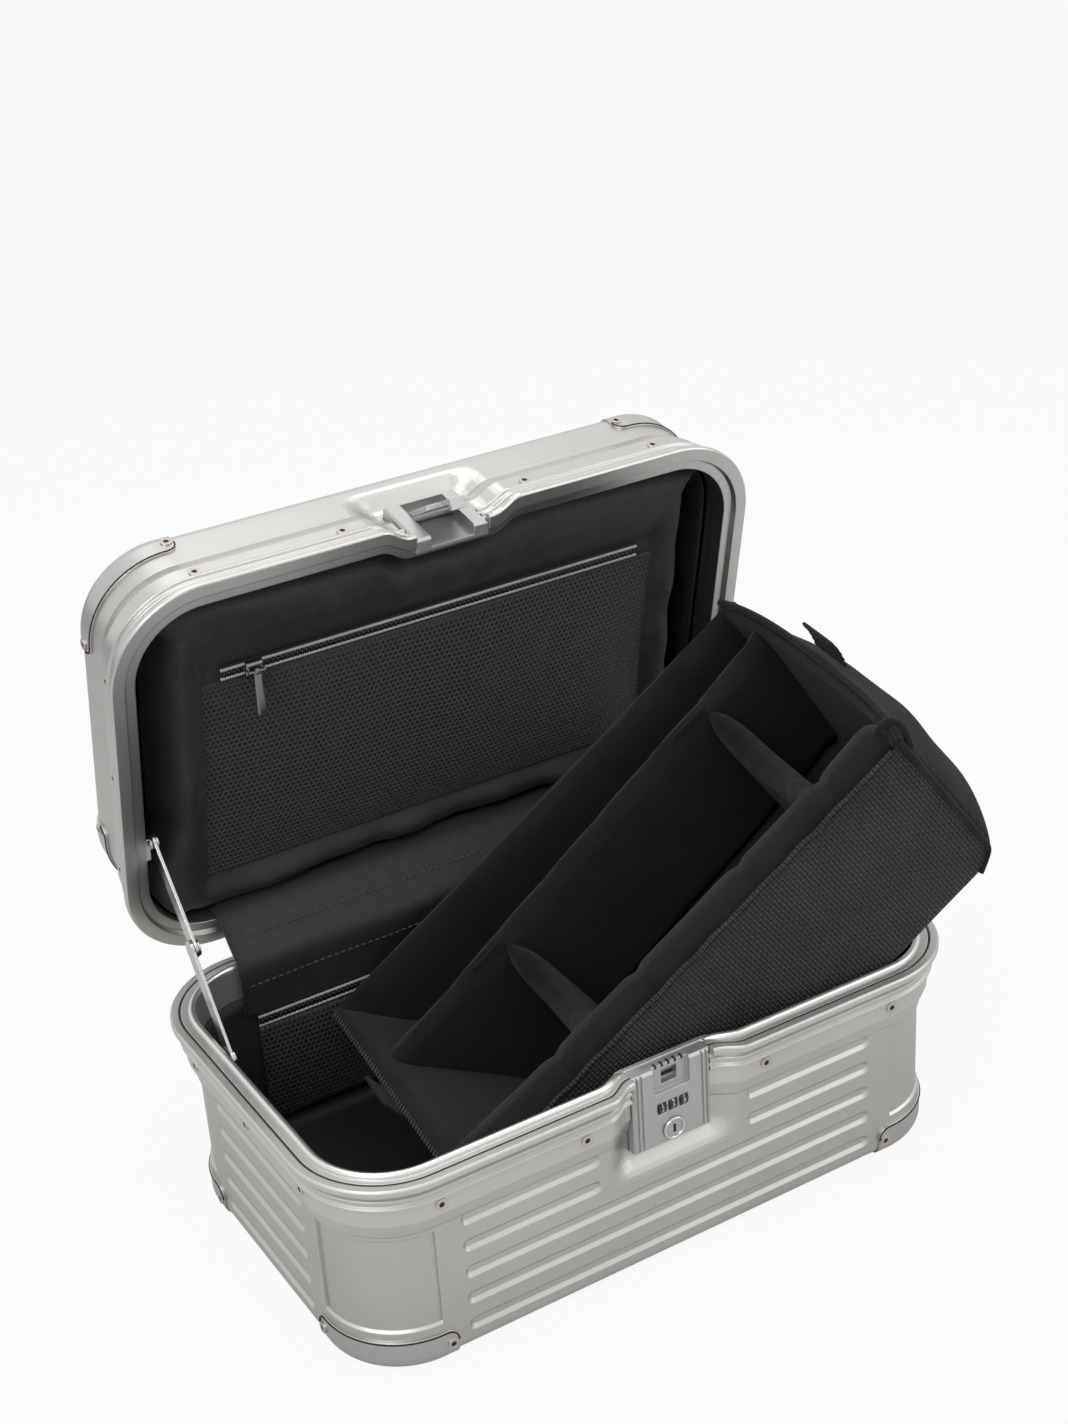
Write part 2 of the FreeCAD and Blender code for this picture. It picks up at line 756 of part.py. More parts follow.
# Web that carries a knuckle on its own leaf
def leaf_web(x0, x1):
    points = [(hinge_y + knuckle_radius, 0), (hinge_y, 0), (hinge_y - knuckle_radius, 0),
              (hinge_y - knuckle_radius + part_gap, -knuckle_radius - part_gap),
              (hinge_y + knuckle_radius - part_gap, -knuckle_radius - part_gap)]
    return slab([vec(x0, y, z) for y, z in points], vec(x1 - x0, 0, 0))


hinge_parts()


# Lid stay at the left end: two links that fold forwards as the lid comes down
def flat_link(x, start, end):
    run = end - start
    angle = math.degrees(math.atan2(run.z, run.y))
    bar = box(x, x + link_thickness, 0, run.Length, -link_half, link_half)
    bar = turned(bar, centre, across, angle)
    ends = [rod(vec(x, p.y, p.z), across, link_eye, link_thickness) for p in (start, end)]
    return fused([moved(bar, vec(0, start.y, start.z))] + ends)


def stay_parts():
    rest_y = hinge_y - stay_setback
    low = vec(0, rest_y, base_height - stay_rise)
    closed_top = vec(0, rest_y, base_height + stay_rise)
    top = opened(Part.Vertex(closed_top)).Point
    chord = top - low
    link = chord.Length / 2 + stay_slack
    bow = math.sqrt(link ** 2 - (chord.Length / 2) ** 2)
    elbow = (low + top) / 2 + vec(0, -chord.z, chord.y).normalize() * bow
    face = half_length - frame_width
    plate = face - bracket_thickness
    lower_x = plate - link_gap - link_thickness
    upper_x = lower_x - link_gap - link_thickness
    pin_x = upper_x - link_gap
    pin = rod(vec(pin_x, 0, 0), across, stay_pin_radius, plate - pin_x)
    short_pin = rod(vec(pin_x, 0, 0), across, stay_pin_radius, lower_x - pin_x)
    bore = rod(vec(pin_x, 0, 0), across, stay_pin_radius + running_gap, plate - pin_x)
    head = rod(vec(pin_x - stay_head, 0, 0), across, link_half, stay_head)
    low_head = rod(vec(lower_x - stay_head, low.y, low.z), across, link_half, stay_head)
    lower = [flat_link(lower_x, low, elbow), low_head, moved(short_pin, elbow), moved(head, elbow)]
    upper = flat_link(upper_x, elbow, top).cut([moved(bore, elbow), moved(bore, top)])
    foot = box(plate, face, rest_y - bracket_half, rest_y + bracket_half,
               base_height - inner_leg, base_height - stay_rise + bracket_half / 2)
    spacer = rod(vec(lower_x, 0, 0), across, spacer_radius, plate - lower_x)
    tab = box(plate, face, rest_y - bracket_half, rest_y + bracket_half,
              base_height + lid_step_rise, base_height + panel_level - part_gap)
    bracket = [tab] + [moved(shape, closed_top) for shape in (spacer, pin, head)]
    nodes["stay_lower_link"] = fused(lower).mirror(centre, across)
    nodes["stay_upper_link"] = upper.mirror(centre, across)
    nodes["stay_base_bracket"] = foot.mirror(centre, across)
    nodes["stay_lid_bracket"] = opened(fused(bracket)).mirror(centre, across)


stay_parts()


# Lid divider panel with its mesh pocket, zip, slider and puller
def lid_pocket_parts():
    level = base_height + panel_level
    inset = lining_inner + panel_clear
    sides = (shell_length - 2 * inset, shell_depth - 2 * inset, shell_radius - inset)
    panel = Part.Face(rounded_outline(*sides, level)).extrude(vec(0, 0, panel_thickness))
    step = recess(roof_recess_straight, roof_recess_fade, inset)
    panel = panel.cut(moved(step, vec(0, 0, level + overrun)))
    nodes["lid_panel"] = opened(panel)
    mesh_half = mesh_length / 2
    mesh = box(-mesh_half, mesh_half, mesh_low, mesh_high, level - mesh_thickness, level)
    nodes["lid_mesh_pocket"] = opened(mesh)
    zip_half = zip_length / 2
    tape = box(-zip_half, zip_half, zip_place - zip_width / 2, mesh_low, level - zip_thickness, level)
    nodes["lid_zip"] = opened(tape)
    slider_top = level - zip_thickness - part_gap
    slider_low = slider_top - slider_height
    x0, x1 = slider_place - slider_length / 2, slider_place + slider_length / 2
    slider = box(x0, x1, zip_place - slider_width / 2, zip_place + slider_width / 2, slider_low, slider_top)
    low_edges = [e for e in slider.Edges if e.BoundBox.ZMax < slider_low + skin]
    slider = slider.makeChamfer(slider_height / 4, low_edges)
    bail_z = slider_low - bail_height
    bar = rod(vec(x0, zip_place, bail_z), across, bail_radius, slider_length)
    legs = [rod(vec(x, zip_place, bail_z), upward, bail_radius, bail_height + slider_height / 4)
            for x in (x0 + bail_radius, x1 - bail_radius)]
    nodes["zip_slider"] = opened(fused([slider, bar] + legs))
    half = puller_width / 2
    eye = rod(vec(slider_place - half / 2, zip_place, bail_z), across, bail_radius + puller_thickness, half)
    flat = box(slider_place - half, slider_place + half, zip_place + bail_radius, zip_place + puller_length,
               bail_z - puller_thickness / 2, bail_z + puller_thickness / 2)
    far_end = zip_place + puller_length - skin
    corners = [e for e in flat.Edges if e.BoundBox.YMin > far_end and e.BoundBox.ZLength > skin]
    flat = flat.makeFillet(half - skin, corners)
    bail_bore = rod(vec(x0, zip_place, bail_z), across, bail_radius + running_gap, slider_length)
    puller = fused([eye, flat]).cut(bail_bore)
    puller = opened(puller)
    axis = opened(Part.Vertex(vec(slider_place, zip_place, bail_z))).Point
    nodes["zip_puller"] = turned(puller, axis, across, lid_open_angle - 90)


lid_pocket_parts()


# Zip pocket on the back wall of the base, and the fabric flap over the hinges
def base_pocket_parts():
    face = shell_depth / 2 - lining_inner
    half = pocket_length / 2
    nodes["base_pocket"] = box(-half, half, face - pocket_thickness, face, pocket_low, pocket_high)
    nodes["base_pocket_zip"] = box(-half, half, face - pocket_thickness, face, pocket_high,
                                   pocket_high + pocket_zip_width)
    leg_y = min(half_depth - frame_width, face) - flap_gap
    flap_low = pocket_high + pocket_zip_width + part_gap
    flap_high = panel_level - part_gap
    edge = opened(Part.Vertex(vec(0, half_depth - frame_width, base_height + lid_step_rise))).Point
    far = opened(Part.Vertex(vec(0, half_depth - frame_width, base_height + flap_high))).Point
    over = vec(0, -math.cos(math.radians(lid_open_angle)), math.sin(math.radians(lid_open_angle)))
    lift = flap_gap + flap_thickness / 2
    corner = edge + over * lift - vec(0, lift, 0)
    path = [vec(0, leg_y - flap_thickness / 2, flap_low),
            vec(0, leg_y - flap_thickness / 2, base_height), corner, far + over * lift]
    half_flap = flap_length / 2
    strips = []
    for start, end in zip(path[:-1], path[1:]):
        along = (end - start).normalize()
        normal = vec(0, -along.z, along.y) * (flap_thickness / 2)
        quad = [start - normal, end - normal, end + normal, start + normal]
        strips.append(slab([vec(-half_flap, p.y, p.z) for p in quad], vec(flap_length, 0, 0)))
    joints = [rod(vec(-half_flap, p.y, p.z), across, flap_thickness / 2, flap_length) for p in path[1:-1]]
    nodes["hinge_flap"] = fused(strips + joints)


base_pocket_parts()


# Carry handle: two ears on the roof and a folding grip
def handle_parts():
    roof = base_height + lid_height - cap_thickness
    axis_y = -handle_axis_back
    axis_z = roof + handle_axis_rise
    half = handle_span / 2
    ears, arms = [], []
    for side in (-1, 1):
        inner, outer = side * half, side * (half + ear_thickness)
        x0, x1 = sorted((inner, outer))
        post = box(x0, x1, axis_y - ear_half, axis_y + ear_half, roof, axis_z)
        crown = rod(vec(x0, axis_y, axis_z), across, ear_half, ear_thickness)
        fx0, fx1 = sorted((side * (half - arm_width), side * (half + ear_thickness + ear_foot_length / 2)))
        foot = box(x1 if side > 0 else fx0, fx1 if side > 0 else x0, axis_y - ear_half, axis_y + ear_half,
                   roof, roof + ear_foot)
        stub = rod(vec(min(inner, inner - side * arm_width), axis_y, axis_z), across,
                   handle_pin_radius, arm_width)
        ears.append(fused([post, crown, foot, stub]))
        ax0, ax1 = sorted((side * (half - part_gap), side * (half - part_gap - arm_width)))
        eye = rod(vec(ax0, axis_y, axis_z), across, arm_height / 2, arm_width)
        arm = box(ax0, ax1, axis_y, axis_y + handle_reach, axis_z - arm_height / 2, axis_z + arm_height / 2)
        hole = rod(vec(ax0 - overrun, axis_y, axis_z), across, handle_pin_radius + running_gap,
                   arm_width + 2 * overrun)
        arms.append(eye.fuse(arm).cut(hole))
    grip_half = half - part_gap
    bar = box(-grip_half, grip_half,
              axis_y + handle_reach - grip_width / 2, axis_y + handle_reach + grip_width / 2,
              axis_z - grip_height / 2, axis_z + grip_height / 2)
    bar = bar.makeFillet(grip_height / 3, [e for e in bar.Edges if e.BoundBox.XLength > grip_half])
    nodes["handle_brackets"] = opened(Part.makeCompound(ears))
    nodes["handle_grip"] = opened(fused(arms + [bar]))


handle_parts()


# Padded divider insert, leaning out of the base as photographed
def insert_frame():
    tilt, yaw = math.radians(insert_tilt), math.radians(insert_yaw)
    along = vec(math.cos(tilt) * math.cos(yaw), math.sin(yaw), math.sin(tilt) * math.cos(yaw))
    normal = vec(-math.sin(tilt), 0, math.cos(tilt))
    depth = normal.cross(along)
    heel = vec(insert_heel_x, insert_heel_y, floor_top + part_gap)
    matrix = FreeCAD.Matrix(along.x, depth.x, normal.x, heel.x, along.y, depth.y, normal.y, heel.y,
                            along.z, depth.z, normal.z, heel.z, 0, 0, 0, 1)
    return matrix


def placed(shape, matrix):
    copy = shape.copy()
    copy.transformShape(matrix)
    return copy


# Space between the insert's walls, bowed at the right end and slanted at the left end
def insert_cavity(lean):
    length, height, depth = insert_floor_length, insert_height, insert_depth
    start, far = -lean - overrun, length + insert_bow + overrun
    end = length - insert_wall
    edges = [Part.LineSegment(vec(start, 0, 0), vec(end, 0, 0)).toShape(),
             Part.Arc(vec(end, 0, 0), vec(end + insert_bow, depth / 2, 0), vec(end, depth, 0)).toShape(),
             Part.LineSegment(vec(end, depth, 0), vec(start, depth, 0)).toShape(),
             Part.LineSegment(vec(start, depth, 0), vec(start, 0, 0)).toShape()]
    plan = Part.Face(Part.Wire(edges)).extrude(vec(0, 0, height))
    slant = slab([vec(insert_wall, 0, 0), vec(far, 0, 0), vec(far, 0, height),
                  vec(insert_wall - lean, 0, height)],
                 vec(0, depth, 0))
    between = box(start, far, insert_skin, depth - insert_wall, 0, height)
    return plan.common(slant).common(between)


def insert_parts():
    matrix = insert_frame()
    length, height, depth, thick = insert_floor_length, insert_height, insert_depth, insert_wall
    lean = insert_lean
    far = length + insert_bow
    end = length - thick
    side_outline = [vec(0, 0, 0), vec(end, 0, 0), vec(end, 0, height), vec(-lean, 0, height)]
    pieces = {"insert_front": slab(side_outline, vec(0, insert_skin, 0)),
              "insert_back": moved(slab(side_outline, vec(0, thick, 0)), vec(0, depth - thick, 0))}
    slant = [vec(0, insert_skin, 0), vec(thick, insert_skin, 0), vec(thick - lean, insert_skin, height),
             vec(-lean, insert_skin, height)]
    pieces["insert_left_end"] = slab(slant, vec(0, depth - thick - insert_skin, 0))
    bowed = [Part.Arc(vec(x, 0, 0), vec(x + insert_bow, depth / 2, 0), vec(x, depth, 0)).toShape()
             for x in (end, length)]
    joins = [Part.LineSegment(vec(end, y, 0), vec(length, y, 0)).toShape() for y in (0, depth)]
    right_wire = Part.Wire(Part.__sortEdges__(bowed + joins))
    pieces["insert_right_end"] = Part.Face(right_wire).extrude(vec(0, 0, height))
    cavity = insert_cavity(lean)
    pieces["insert_floor"] = cavity.common(box(-lean, far, 0, depth, 0, thick))
    pad_back = insert_skin + insert_pad
    pieces["insert_front_pad"] = cavity.common(box(-lean, far, 0, pad_back, thick, height))
    near, wide = [depth * share for share in long_divider_shares]
    plan = [vec(-lean, near, thick), vec(far, wide, thick), vec(far, wide + divider_thickness, thick),
            vec(-lean, near + divider_thickness, thick)]
    divider = cavity.common(slab(plan, vec(0, 0, height - long_divider_drop - thick)))
    pieces["insert_long_divider"] = divider
    cross_top = height - cross_divider_drop
    for place_share, name in zip(cross_divider_shares, ("left", "right")):
        x = length * place_share
        share = (x + lean) / (far + lean)
        finish = near + (wide - near) * share + divider_thickness / 2
        low = Part.LineSegment(vec(x, pad_back, thick), vec(x, finish, thick)).toShape()
        right = Part.LineSegment(vec(x, finish, thick), vec(x, finish, cross_top)).toShape()
        dip = Part.Arc(vec(x, finish, cross_top),
                       vec(x, (pad_back + finish) / 2, cross_top - cross_divider_dip),
                       vec(x, pad_back, cross_top)).toShape()
        left = Part.LineSegment(vec(x, pad_back, cross_top), vec(x, pad_back, thick)).toShape()
        face = Part.Face(Part.Wire([low, right, dip, left]))
        pieces["insert_cross_divider_" + name] = face.extrude(vec(divider_thickness, 0, 0)).cut(divider)
    tabs = []
    for x in (-lean, far - tab_thickness):
        tabs.append(box(x, x + tab_thickness, (depth - tab_width) / 2, (depth + tab_width) / 2,
                        height, height + tab_height))
    pieces["insert_pull_tabs"] = Part.makeCompound(tabs)
    for name, shape in pieces.items():
        nodes[name] = placed(shape, matrix)


insert_parts()

os.makedirs("parts", exist_ok=True)
for name, shape in nodes.items():
    shape.exportStep("parts/%s.step" % name)
print("nodes", len(nodes))
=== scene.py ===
import json
import bmesh
import bpy
import numpy as np
from math import atan2, copysign, cos, exp, hypot, inf, pi, radians, sin, sqrt
from mathutils import Matrix, Vector, noise


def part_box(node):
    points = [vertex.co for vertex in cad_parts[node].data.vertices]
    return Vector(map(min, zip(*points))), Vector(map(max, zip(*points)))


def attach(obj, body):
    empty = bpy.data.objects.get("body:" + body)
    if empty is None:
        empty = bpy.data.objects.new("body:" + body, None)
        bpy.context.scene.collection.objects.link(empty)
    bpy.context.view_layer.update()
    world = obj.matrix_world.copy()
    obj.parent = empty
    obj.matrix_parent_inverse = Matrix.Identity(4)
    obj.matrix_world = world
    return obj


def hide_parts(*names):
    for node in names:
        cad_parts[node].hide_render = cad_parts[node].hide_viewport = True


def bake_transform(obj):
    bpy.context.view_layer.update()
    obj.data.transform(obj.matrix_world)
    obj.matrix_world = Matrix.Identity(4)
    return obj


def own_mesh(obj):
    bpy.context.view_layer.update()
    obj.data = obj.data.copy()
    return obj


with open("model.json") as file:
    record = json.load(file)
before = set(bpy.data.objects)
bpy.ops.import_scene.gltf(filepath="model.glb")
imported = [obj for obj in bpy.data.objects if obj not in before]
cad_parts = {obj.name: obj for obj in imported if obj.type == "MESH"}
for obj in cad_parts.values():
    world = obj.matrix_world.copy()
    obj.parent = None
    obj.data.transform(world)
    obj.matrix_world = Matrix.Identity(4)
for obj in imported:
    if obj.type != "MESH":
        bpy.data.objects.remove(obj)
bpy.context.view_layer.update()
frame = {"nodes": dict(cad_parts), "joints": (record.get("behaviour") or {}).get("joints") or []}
nodes = frame["nodes"]
joints = {joint["name"]: joint for joint in frame["joints"]}
hinge = Vector(joints["lid_hinge"]["pos_m"])
openAngle = radians(joints["lid_hinge"]["range_deg"][1])
lidTurn = Matrix.Translation(hinge) @ Matrix.Rotation(-openAngle, 4, "X") @ Matrix.Translation(-hinge)
upright = Matrix.Identity(4)
print("frame loaded:", len(nodes), "nodes")


# Node helpers: put() adds a node and links or sets its inputs
def put(tree, kind, inputs, **settings):
    node = tree.nodes.new("ShaderNode" + kind)
    for name, value in settings.items():
        setattr(node, name, value)
    for key, value in inputs.items():
        if isinstance(value, bpy.types.NodeSocket):
            tree.links.new(value, node.inputs[key])
        else:
            node.inputs[key].default_value = value
    return node


def calc(tree, operation, first, second=0.0):
    return put(tree, "Math", {0: first, 1: second}, operation=operation).outputs[0]


def noiseOf(tree, vector, scale, detail):
    return put(tree, "TexNoise", {"Vector": vector, "Scale": scale, "Detail": detail}).outputs[0]


def scaledParts(tree, vector, scale):
    spread = put(tree, "VectorMath", {0: vector, "Scale": scale}, operation="SCALE").outputs[0]
    return spread, put(tree, "SeparateXYZ", {0: spread}).outputs


# Node group from its inputs, with the outputs that build() gives
def nodeGroup(name, inputs, build):
    group = bpy.data.node_groups.new(name, "ShaderNodeTree")
    for socket, value in inputs.items():
        kind = "NodeSocketVector" if socket == "Vector" else "NodeSocketFloat"
        made = group.interface.new_socket(socket, in_out="INPUT", socket_type=kind)
        if socket != "Vector":
            made.default_value = value
    parts = build(group, group.nodes.new("NodeGroupInput").outputs)
    for socket in parts:
        group.interface.new_socket(socket, in_out="OUTPUT", socket_type="NodeSocketFloat")
    end = group.nodes.new("NodeGroupOutput")
    for socket, value in parts.items():
        group.links.new(value, end.inputs[socket])
    return group


# Long fine scratches of a brushed sheet, and a broad cloudiness
grainLook = dict(detail=3.0, cloud=16.0, cloudDetail=2.0)


def grainParts(group, given):
    stretch = put(group, "CombineXYZ", {0: given["Run"], 1: given["Run"], 2: given["Lines"]})
    spread = put(group, "VectorMath", {0: given["Vector"], 1: stretch.outputs[0]}, operation="MULTIPLY")
    return {"Height": noiseOf(group, spread.outputs[0], 1.0, grainLook["detail"]),
            "Tone": noiseOf(group, given["Vector"], grainLook["cloud"], grainLook["cloudDetail"])}


# Painted highlight: a lighter line along sharp edges, where the bevelled normal turns away from the true
# normal
def wearParts(group, given):
    soft = put(group, "Bevel", {"Radius": given["Radius"]}, samples=4)
    hard = put(group, "NewGeometry", {})
    match = put(group, "VectorMath", {0: soft.outputs[0], 1: hard.outputs["Normal"]},
                operation="DOT_PRODUCT")
    turn = calc(group, "SUBTRACT", 1.0, match.outputs["Value"])
    gain = put(group, "Math", {0: turn, 1: given["Gain"]}, operation="MULTIPLY", use_clamp=True)
    return {"Mask": gain.outputs[0]}


# Over and under threads of a plain weave, on a map in metres
def weaveParts(group, given):
    spread, parts = scaledParts(group, given["Vector"], given["Threads"])
    swells = []
    for axis in (0, 1):
        angle = calc(group, "MULTIPLY", parts[axis], pi)
        swells.append(calc(group, "ABSOLUTE", calc(group, "SINE", angle)))
    over = put(group, "TexChecker", {"Vector": spread, "Scale": 1.0})
    mix = put(group, "Mix", {0: over.outputs["Fac"], 2: swells[0], 3: swells[1]})
    return {"Height": calc(group, "MULTIPLY", mix.outputs[0], calc(group, "ADD", *swells))}


# Staggered round holes of a spacer mesh
holeBlur = 0.12


def holeParts(group, given):
    parts = scaledParts(group, given["Vector"], given["Holes"])[1]
    row = calc(group, "FLOOR", parts[1])
    shift = calc(group, "MULTIPLY", calc(group, "PINGPONG", row, 1.0), 0.5)
    across = calc(group, "SUBTRACT", calc(group, "FRACT", calc(group, "ADD", parts[0], shift)), 0.5)
    along = calc(group, "SUBTRACT", calc(group, "FRACT", parts[1]), 0.5)
    far = put(group, "CombineXYZ", {0: across, 1: along})
    reach = put(group, "VectorMath", {0: far.outputs[0]}, operation="LENGTH").outputs["Value"]
    edge = calc(group, "ADD", given["Radius"], holeBlur)
    mask = put(group, "MapRange", {"Value": reach, 1: given["Radius"], 2: edge, 3: 1.0, 4: 0.0}).outputs[0]
    return {"Mask": mask, "Height": calc(group, "SUBTRACT", 1.0, mask)}


# Fine lint and slow unevenness of a napped cloth
lintLook = dict(detail=2.0, slow=38.0, slowDetail=3.0)


def lintParts(group, given):
    return {"Height": noiseOf(group, given["Vector"], given["Scale"], lintLook["detail"]),
            "Tone": noiseOf(group, given["Vector"], lintLook["slow"], lintLook["slowDetail"])}


grain = nodeGroup("brushedGrain", {"Vector": None, "Lines": 900.0, "Run": 7.0}, grainParts)
edgeHighlightGroup = nodeGroup("paintedEdgeHighlight", {"Radius": 0.0008, "Gain": 3.0}, wearParts)
weave = nodeGroup("plainWeave", {"Vector": None, "Threads": 900.0}, weaveParts)
holes = nodeGroup("punchedHoles", {"Vector": None, "Holes": 400.0, "Radius": 0.3}, holeParts)
lint = nodeGroup("lintNap", {"Vector": None, "Scale": 2600.0}, lintParts)


# Material with its node tree, its shader and its texture coordinates
def newMaterial(name, roughness, metallic=0.0):
    mat = bpy.data.materials.new(name)
    mat.use_nodes = True
    tree = mat.node_tree
    shader = tree.nodes["Principled BSDF"]
    shader.inputs["Roughness"].default_value = roughness
    shader.inputs["Metallic"].default_value = metallic
    return mat, tree, shader, put(tree, "TexCoord", {}).outputs


def useGroup(tree, group, inputs):
    return put(tree, "Group", inputs, node_tree=group).outputs


def shades(tree, factor, dark, light):
    ramp = put(tree, "Mix", {0: factor, 6: (*dark, 1), 7: (*light, 1)}, data_type="RGBA")
    return ramp.outputs[2]


# Links a colour and a bump (strength, depth and height) to the shader, and sets single levels
def finishShader(tree, shader, colour, bump, levels, normal=None):
    tree.links.new(colour, shader.inputs["Base Color"])
    inputs = dict(zip(("Strength", "Distance", "Height"), bump))
    if normal:
        inputs["Normal"] = normal
    tree.links.new(put(tree, "Bump", inputs).outputs[0], shader.inputs["Normal"])
    for name, value in levels.items():
        shader.inputs[name].default_value = value


def grey(value):
    return (value, value, value)


# Satin, cast or polished metal with brushing, cloudiness and a painted highlight along its edges
metalLook = dict(heights=(0.3, 0.7), smoother=0.05, rougher=0.06, edgeHighlight=1.25, depth=0.0004)


def satinMetal(name, dark, light, roughness, lines, turn=0.0, run=7.0, bump=0.05, edge=0.0007, metal=1.0):
    mat, tree, shader, coords = newMaterial(name, roughness, metal)
    place = coords["Object"]
    if turn:
        place = put(tree, "Mapping", {"Vector": place, "Rotation": (turn, 0, 0)}).outputs[0]
    marks = useGroup(tree, grain, {"Vector": place, "Lines": lines, "Run": run})
    edgeHighlight = useGroup(tree, edgeHighlightGroup, {"Radius": edge})
    colour = shades(tree, marks["Tone"], dark, light)
    # Painted highlight: the edges take a colour lighter than the metal's own
    highlightColour = [min(1, channel * metalLook["edgeHighlight"]) for channel in light]
    highlighted = put(tree, "Mix", {0: edgeHighlight["Mask"], 6: colour, 7: (*highlightColour, 1)}, data_type="RGBA").outputs[2]
    low, high = metalLook["heights"]
    smooth, rough = roughness - metalLook["smoother"], roughness + metalLook["rougher"]
    spread = put(tree, "MapRange", {"Value": marks["Height"], 1: low, 2: high, 3: smooth, 4: rough})
    tree.links.new(spread.outputs[0], shader.inputs["Roughness"])
    soft = put(tree, "Bevel", {"Radius": edge}, samples=4)
    finishShader(tree, shader, highlighted, (bump, metalLook["depth"], marks["Height"]), {}, soft.outputs[0])
    return mat


# Woven or napped cloth on the piece's own map, with or without small plain spots
clothLook = dict(spots=75.0, spotRadius=0.1, sheenRough=0.4)


def clothMaterial(name, dark, light, threads=0.0, roughness=0.9, sheen=0.15, bump=0.4, nap=0.15, depth=0.0003,
                  motif=0.0, gloss=0.25):
    mat, tree, shader, coords = newMaterial(name, roughness)
    naps = useGroup(tree, lint, {"Vector": coords["Object"]})
    height = calc(tree, "MULTIPLY", naps["Height"], nap)
    tone = naps["Tone"]
    if threads:
        cloth = useGroup(tree, weave, {"Vector": coords["UV"], "Threads": threads})
        height = calc(tree, "ADD", height, cloth["Height"])
        tone = calc(tree, "MULTIPLY", tone, cloth["Height"])
    if motif:
        spots = useGroup(tree, holes, {"Vector": coords["UV"], "Holes": clothLook["spots"],
                                       "Radius": clothLook["spotRadius"]})
        tone = calc(tree, "ADD", tone, calc(tree, "MULTIPLY", spots["Mask"], motif))
    finishShader(tree, shader, shades(tree, tone, dark, light),
                 (bump, depth, height), {"Sheen Weight": sheen, "Sheen Roughness": clothLook["sheenRough"],
                                         "Specular IOR Level": gloss})
    return mat


# Spacer mesh with staggered holes
meshLook = dict(rough=0.42, holes=360.0, radius=0.29, threads=1600.0, thread=0.3, ground=0.6, depth=0.0012,
                sheen=0.1)


def meshMaterial():
    mat, tree, shader, coords = newMaterial("spacerMesh", meshLook["rough"])
    dots = useGroup(tree, holes, {"Vector": coords["UV"], "Holes": meshLook["holes"],
                                  "Radius": meshLook["radius"]})
    threads = useGroup(tree, weave, {"Vector": coords["UV"], "Threads": meshLook["threads"]})
    fibre = calc(tree, "MULTIPLY", threads["Height"], meshLook["thread"])
    fibre = calc(tree, "ADD", fibre, meshLook["ground"])
    tone = calc(tree, "MULTIPLY", dots["Height"], fibre)
    finishShader(tree, shader, shades(tree, tone, grey(0.001), (0.055, 0.056, 0.059)),
                 (1.0, meshLook["depth"], tone), {"Sheen Weight": meshLook["sheen"]})
    return mat


# Ribbed webbing, ribs along the map's first direction
ribLook = dict(rough=0.75, ribs=430, lint=0.2, bump=0.7, depth=0.0005, sheen=0.03, gloss=0.12)


def ribbedMaterial():
    mat, tree, shader, coords = newMaterial("ribbedWebbing", ribLook["rough"])
    parts = put(tree, "SeparateXYZ", {0: coords["UV"]})
    angle = calc(tree, "MULTIPLY", parts.outputs[1], pi * ribLook["ribs"])
    rib = calc(tree, "ABSOLUTE", calc(tree, "SINE", angle))
    naps = useGroup(tree, lint, {"Vector": coords["Object"]})
    tone = calc(tree, "MULTIPLY", rib, naps["Tone"])
    height = calc(tree, "ADD", rib, calc(tree, "MULTIPLY", naps["Height"], ribLook["lint"]))
    finishShader(tree, shader, shades(tree, tone, (0.001, 0.0012, 0.0014), (0.017, 0.019, 0.022)),
                 (ribLook["bump"], ribLook["depth"], height),
                 {"Sheen Weight": ribLook["sheen"], "Specular IOR Level": ribLook["gloss"]})
    return mat


# Moulded plastic, rubber or paint with a fine grain and a painted highlight along its edges
mouldLook = dict(grain=1500.0, edge=0.0006, tone=0.6, bump=0.15, depth=0.0002)


def mouldedMaterial(name, dark, light, roughness):
    mat, tree, shader, coords = newMaterial(name, roughness)
    naps = useGroup(tree, lint, {"Vector": coords["Object"], "Scale": mouldLook["grain"]})
    edgeHighlight = useGroup(tree, edgeHighlightGroup, {"Radius": mouldLook["edge"]})
    # Painted highlight: the edge mask lightens the tone
    tone = calc(tree, "ADD", calc(tree, "MULTIPLY", naps["Tone"], mouldLook["tone"]), edgeHighlight["Mask"])
    finishShader(tree, shader, shades(tree, tone, dark, light),
                 (mouldLook["bump"], mouldLook["depth"], naps["Height"]), {})
    return mat


pressed = ((0.47, 0.465, 0.445), (0.55, 0.545, 0.525), 0.38, 900.0)
baseMetal = satinMetal("pressedAluminium", *pressed)
lidMetal = satinMetal("pressedAluminiumLid", *pressed, turn=openAngle)
baseRim = satinMetal("rolledFrame", (0.52, 0.515, 0.49), (0.6, 0.595, 0.575), 0.4, 1300.0, bump=0.04,
                     metal=0.75)
beadMetal = satinMetal("rolledBead", (0.66, 0.655, 0.64), (0.76, 0.755, 0.74), 0.3, 400.0, bump=0.03,
                       metal=0.85)
lidRim = satinMetal("rolledFrameLid", (0.5, 0.495, 0.475), (0.57, 0.565, 0.55), 0.32, 1300.0, turn=openAngle,
                    bump=0.04)
capMetal = satinMetal("stampedCap", (0.45, 0.445, 0.435), (0.53, 0.525, 0.515), 0.34, 500.0, bump=0.04)
rivetMetal = satinMetal("rivetSteel", (0.5, 0.44, 0.41), (0.62, 0.55, 0.52), 0.28, 300.0, edge=0.0003)
zincMetal = satinMetal("castZinc", (0.41, 0.41, 0.405), (0.49, 0.49, 0.485), 0.44, 160.0, run=120.0,
                       bump=0.03, metal=0.82)
brightMetal = satinMetal("brightSteel", grey(0.5), grey(0.6), 0.22, 700.0, bump=0.03)
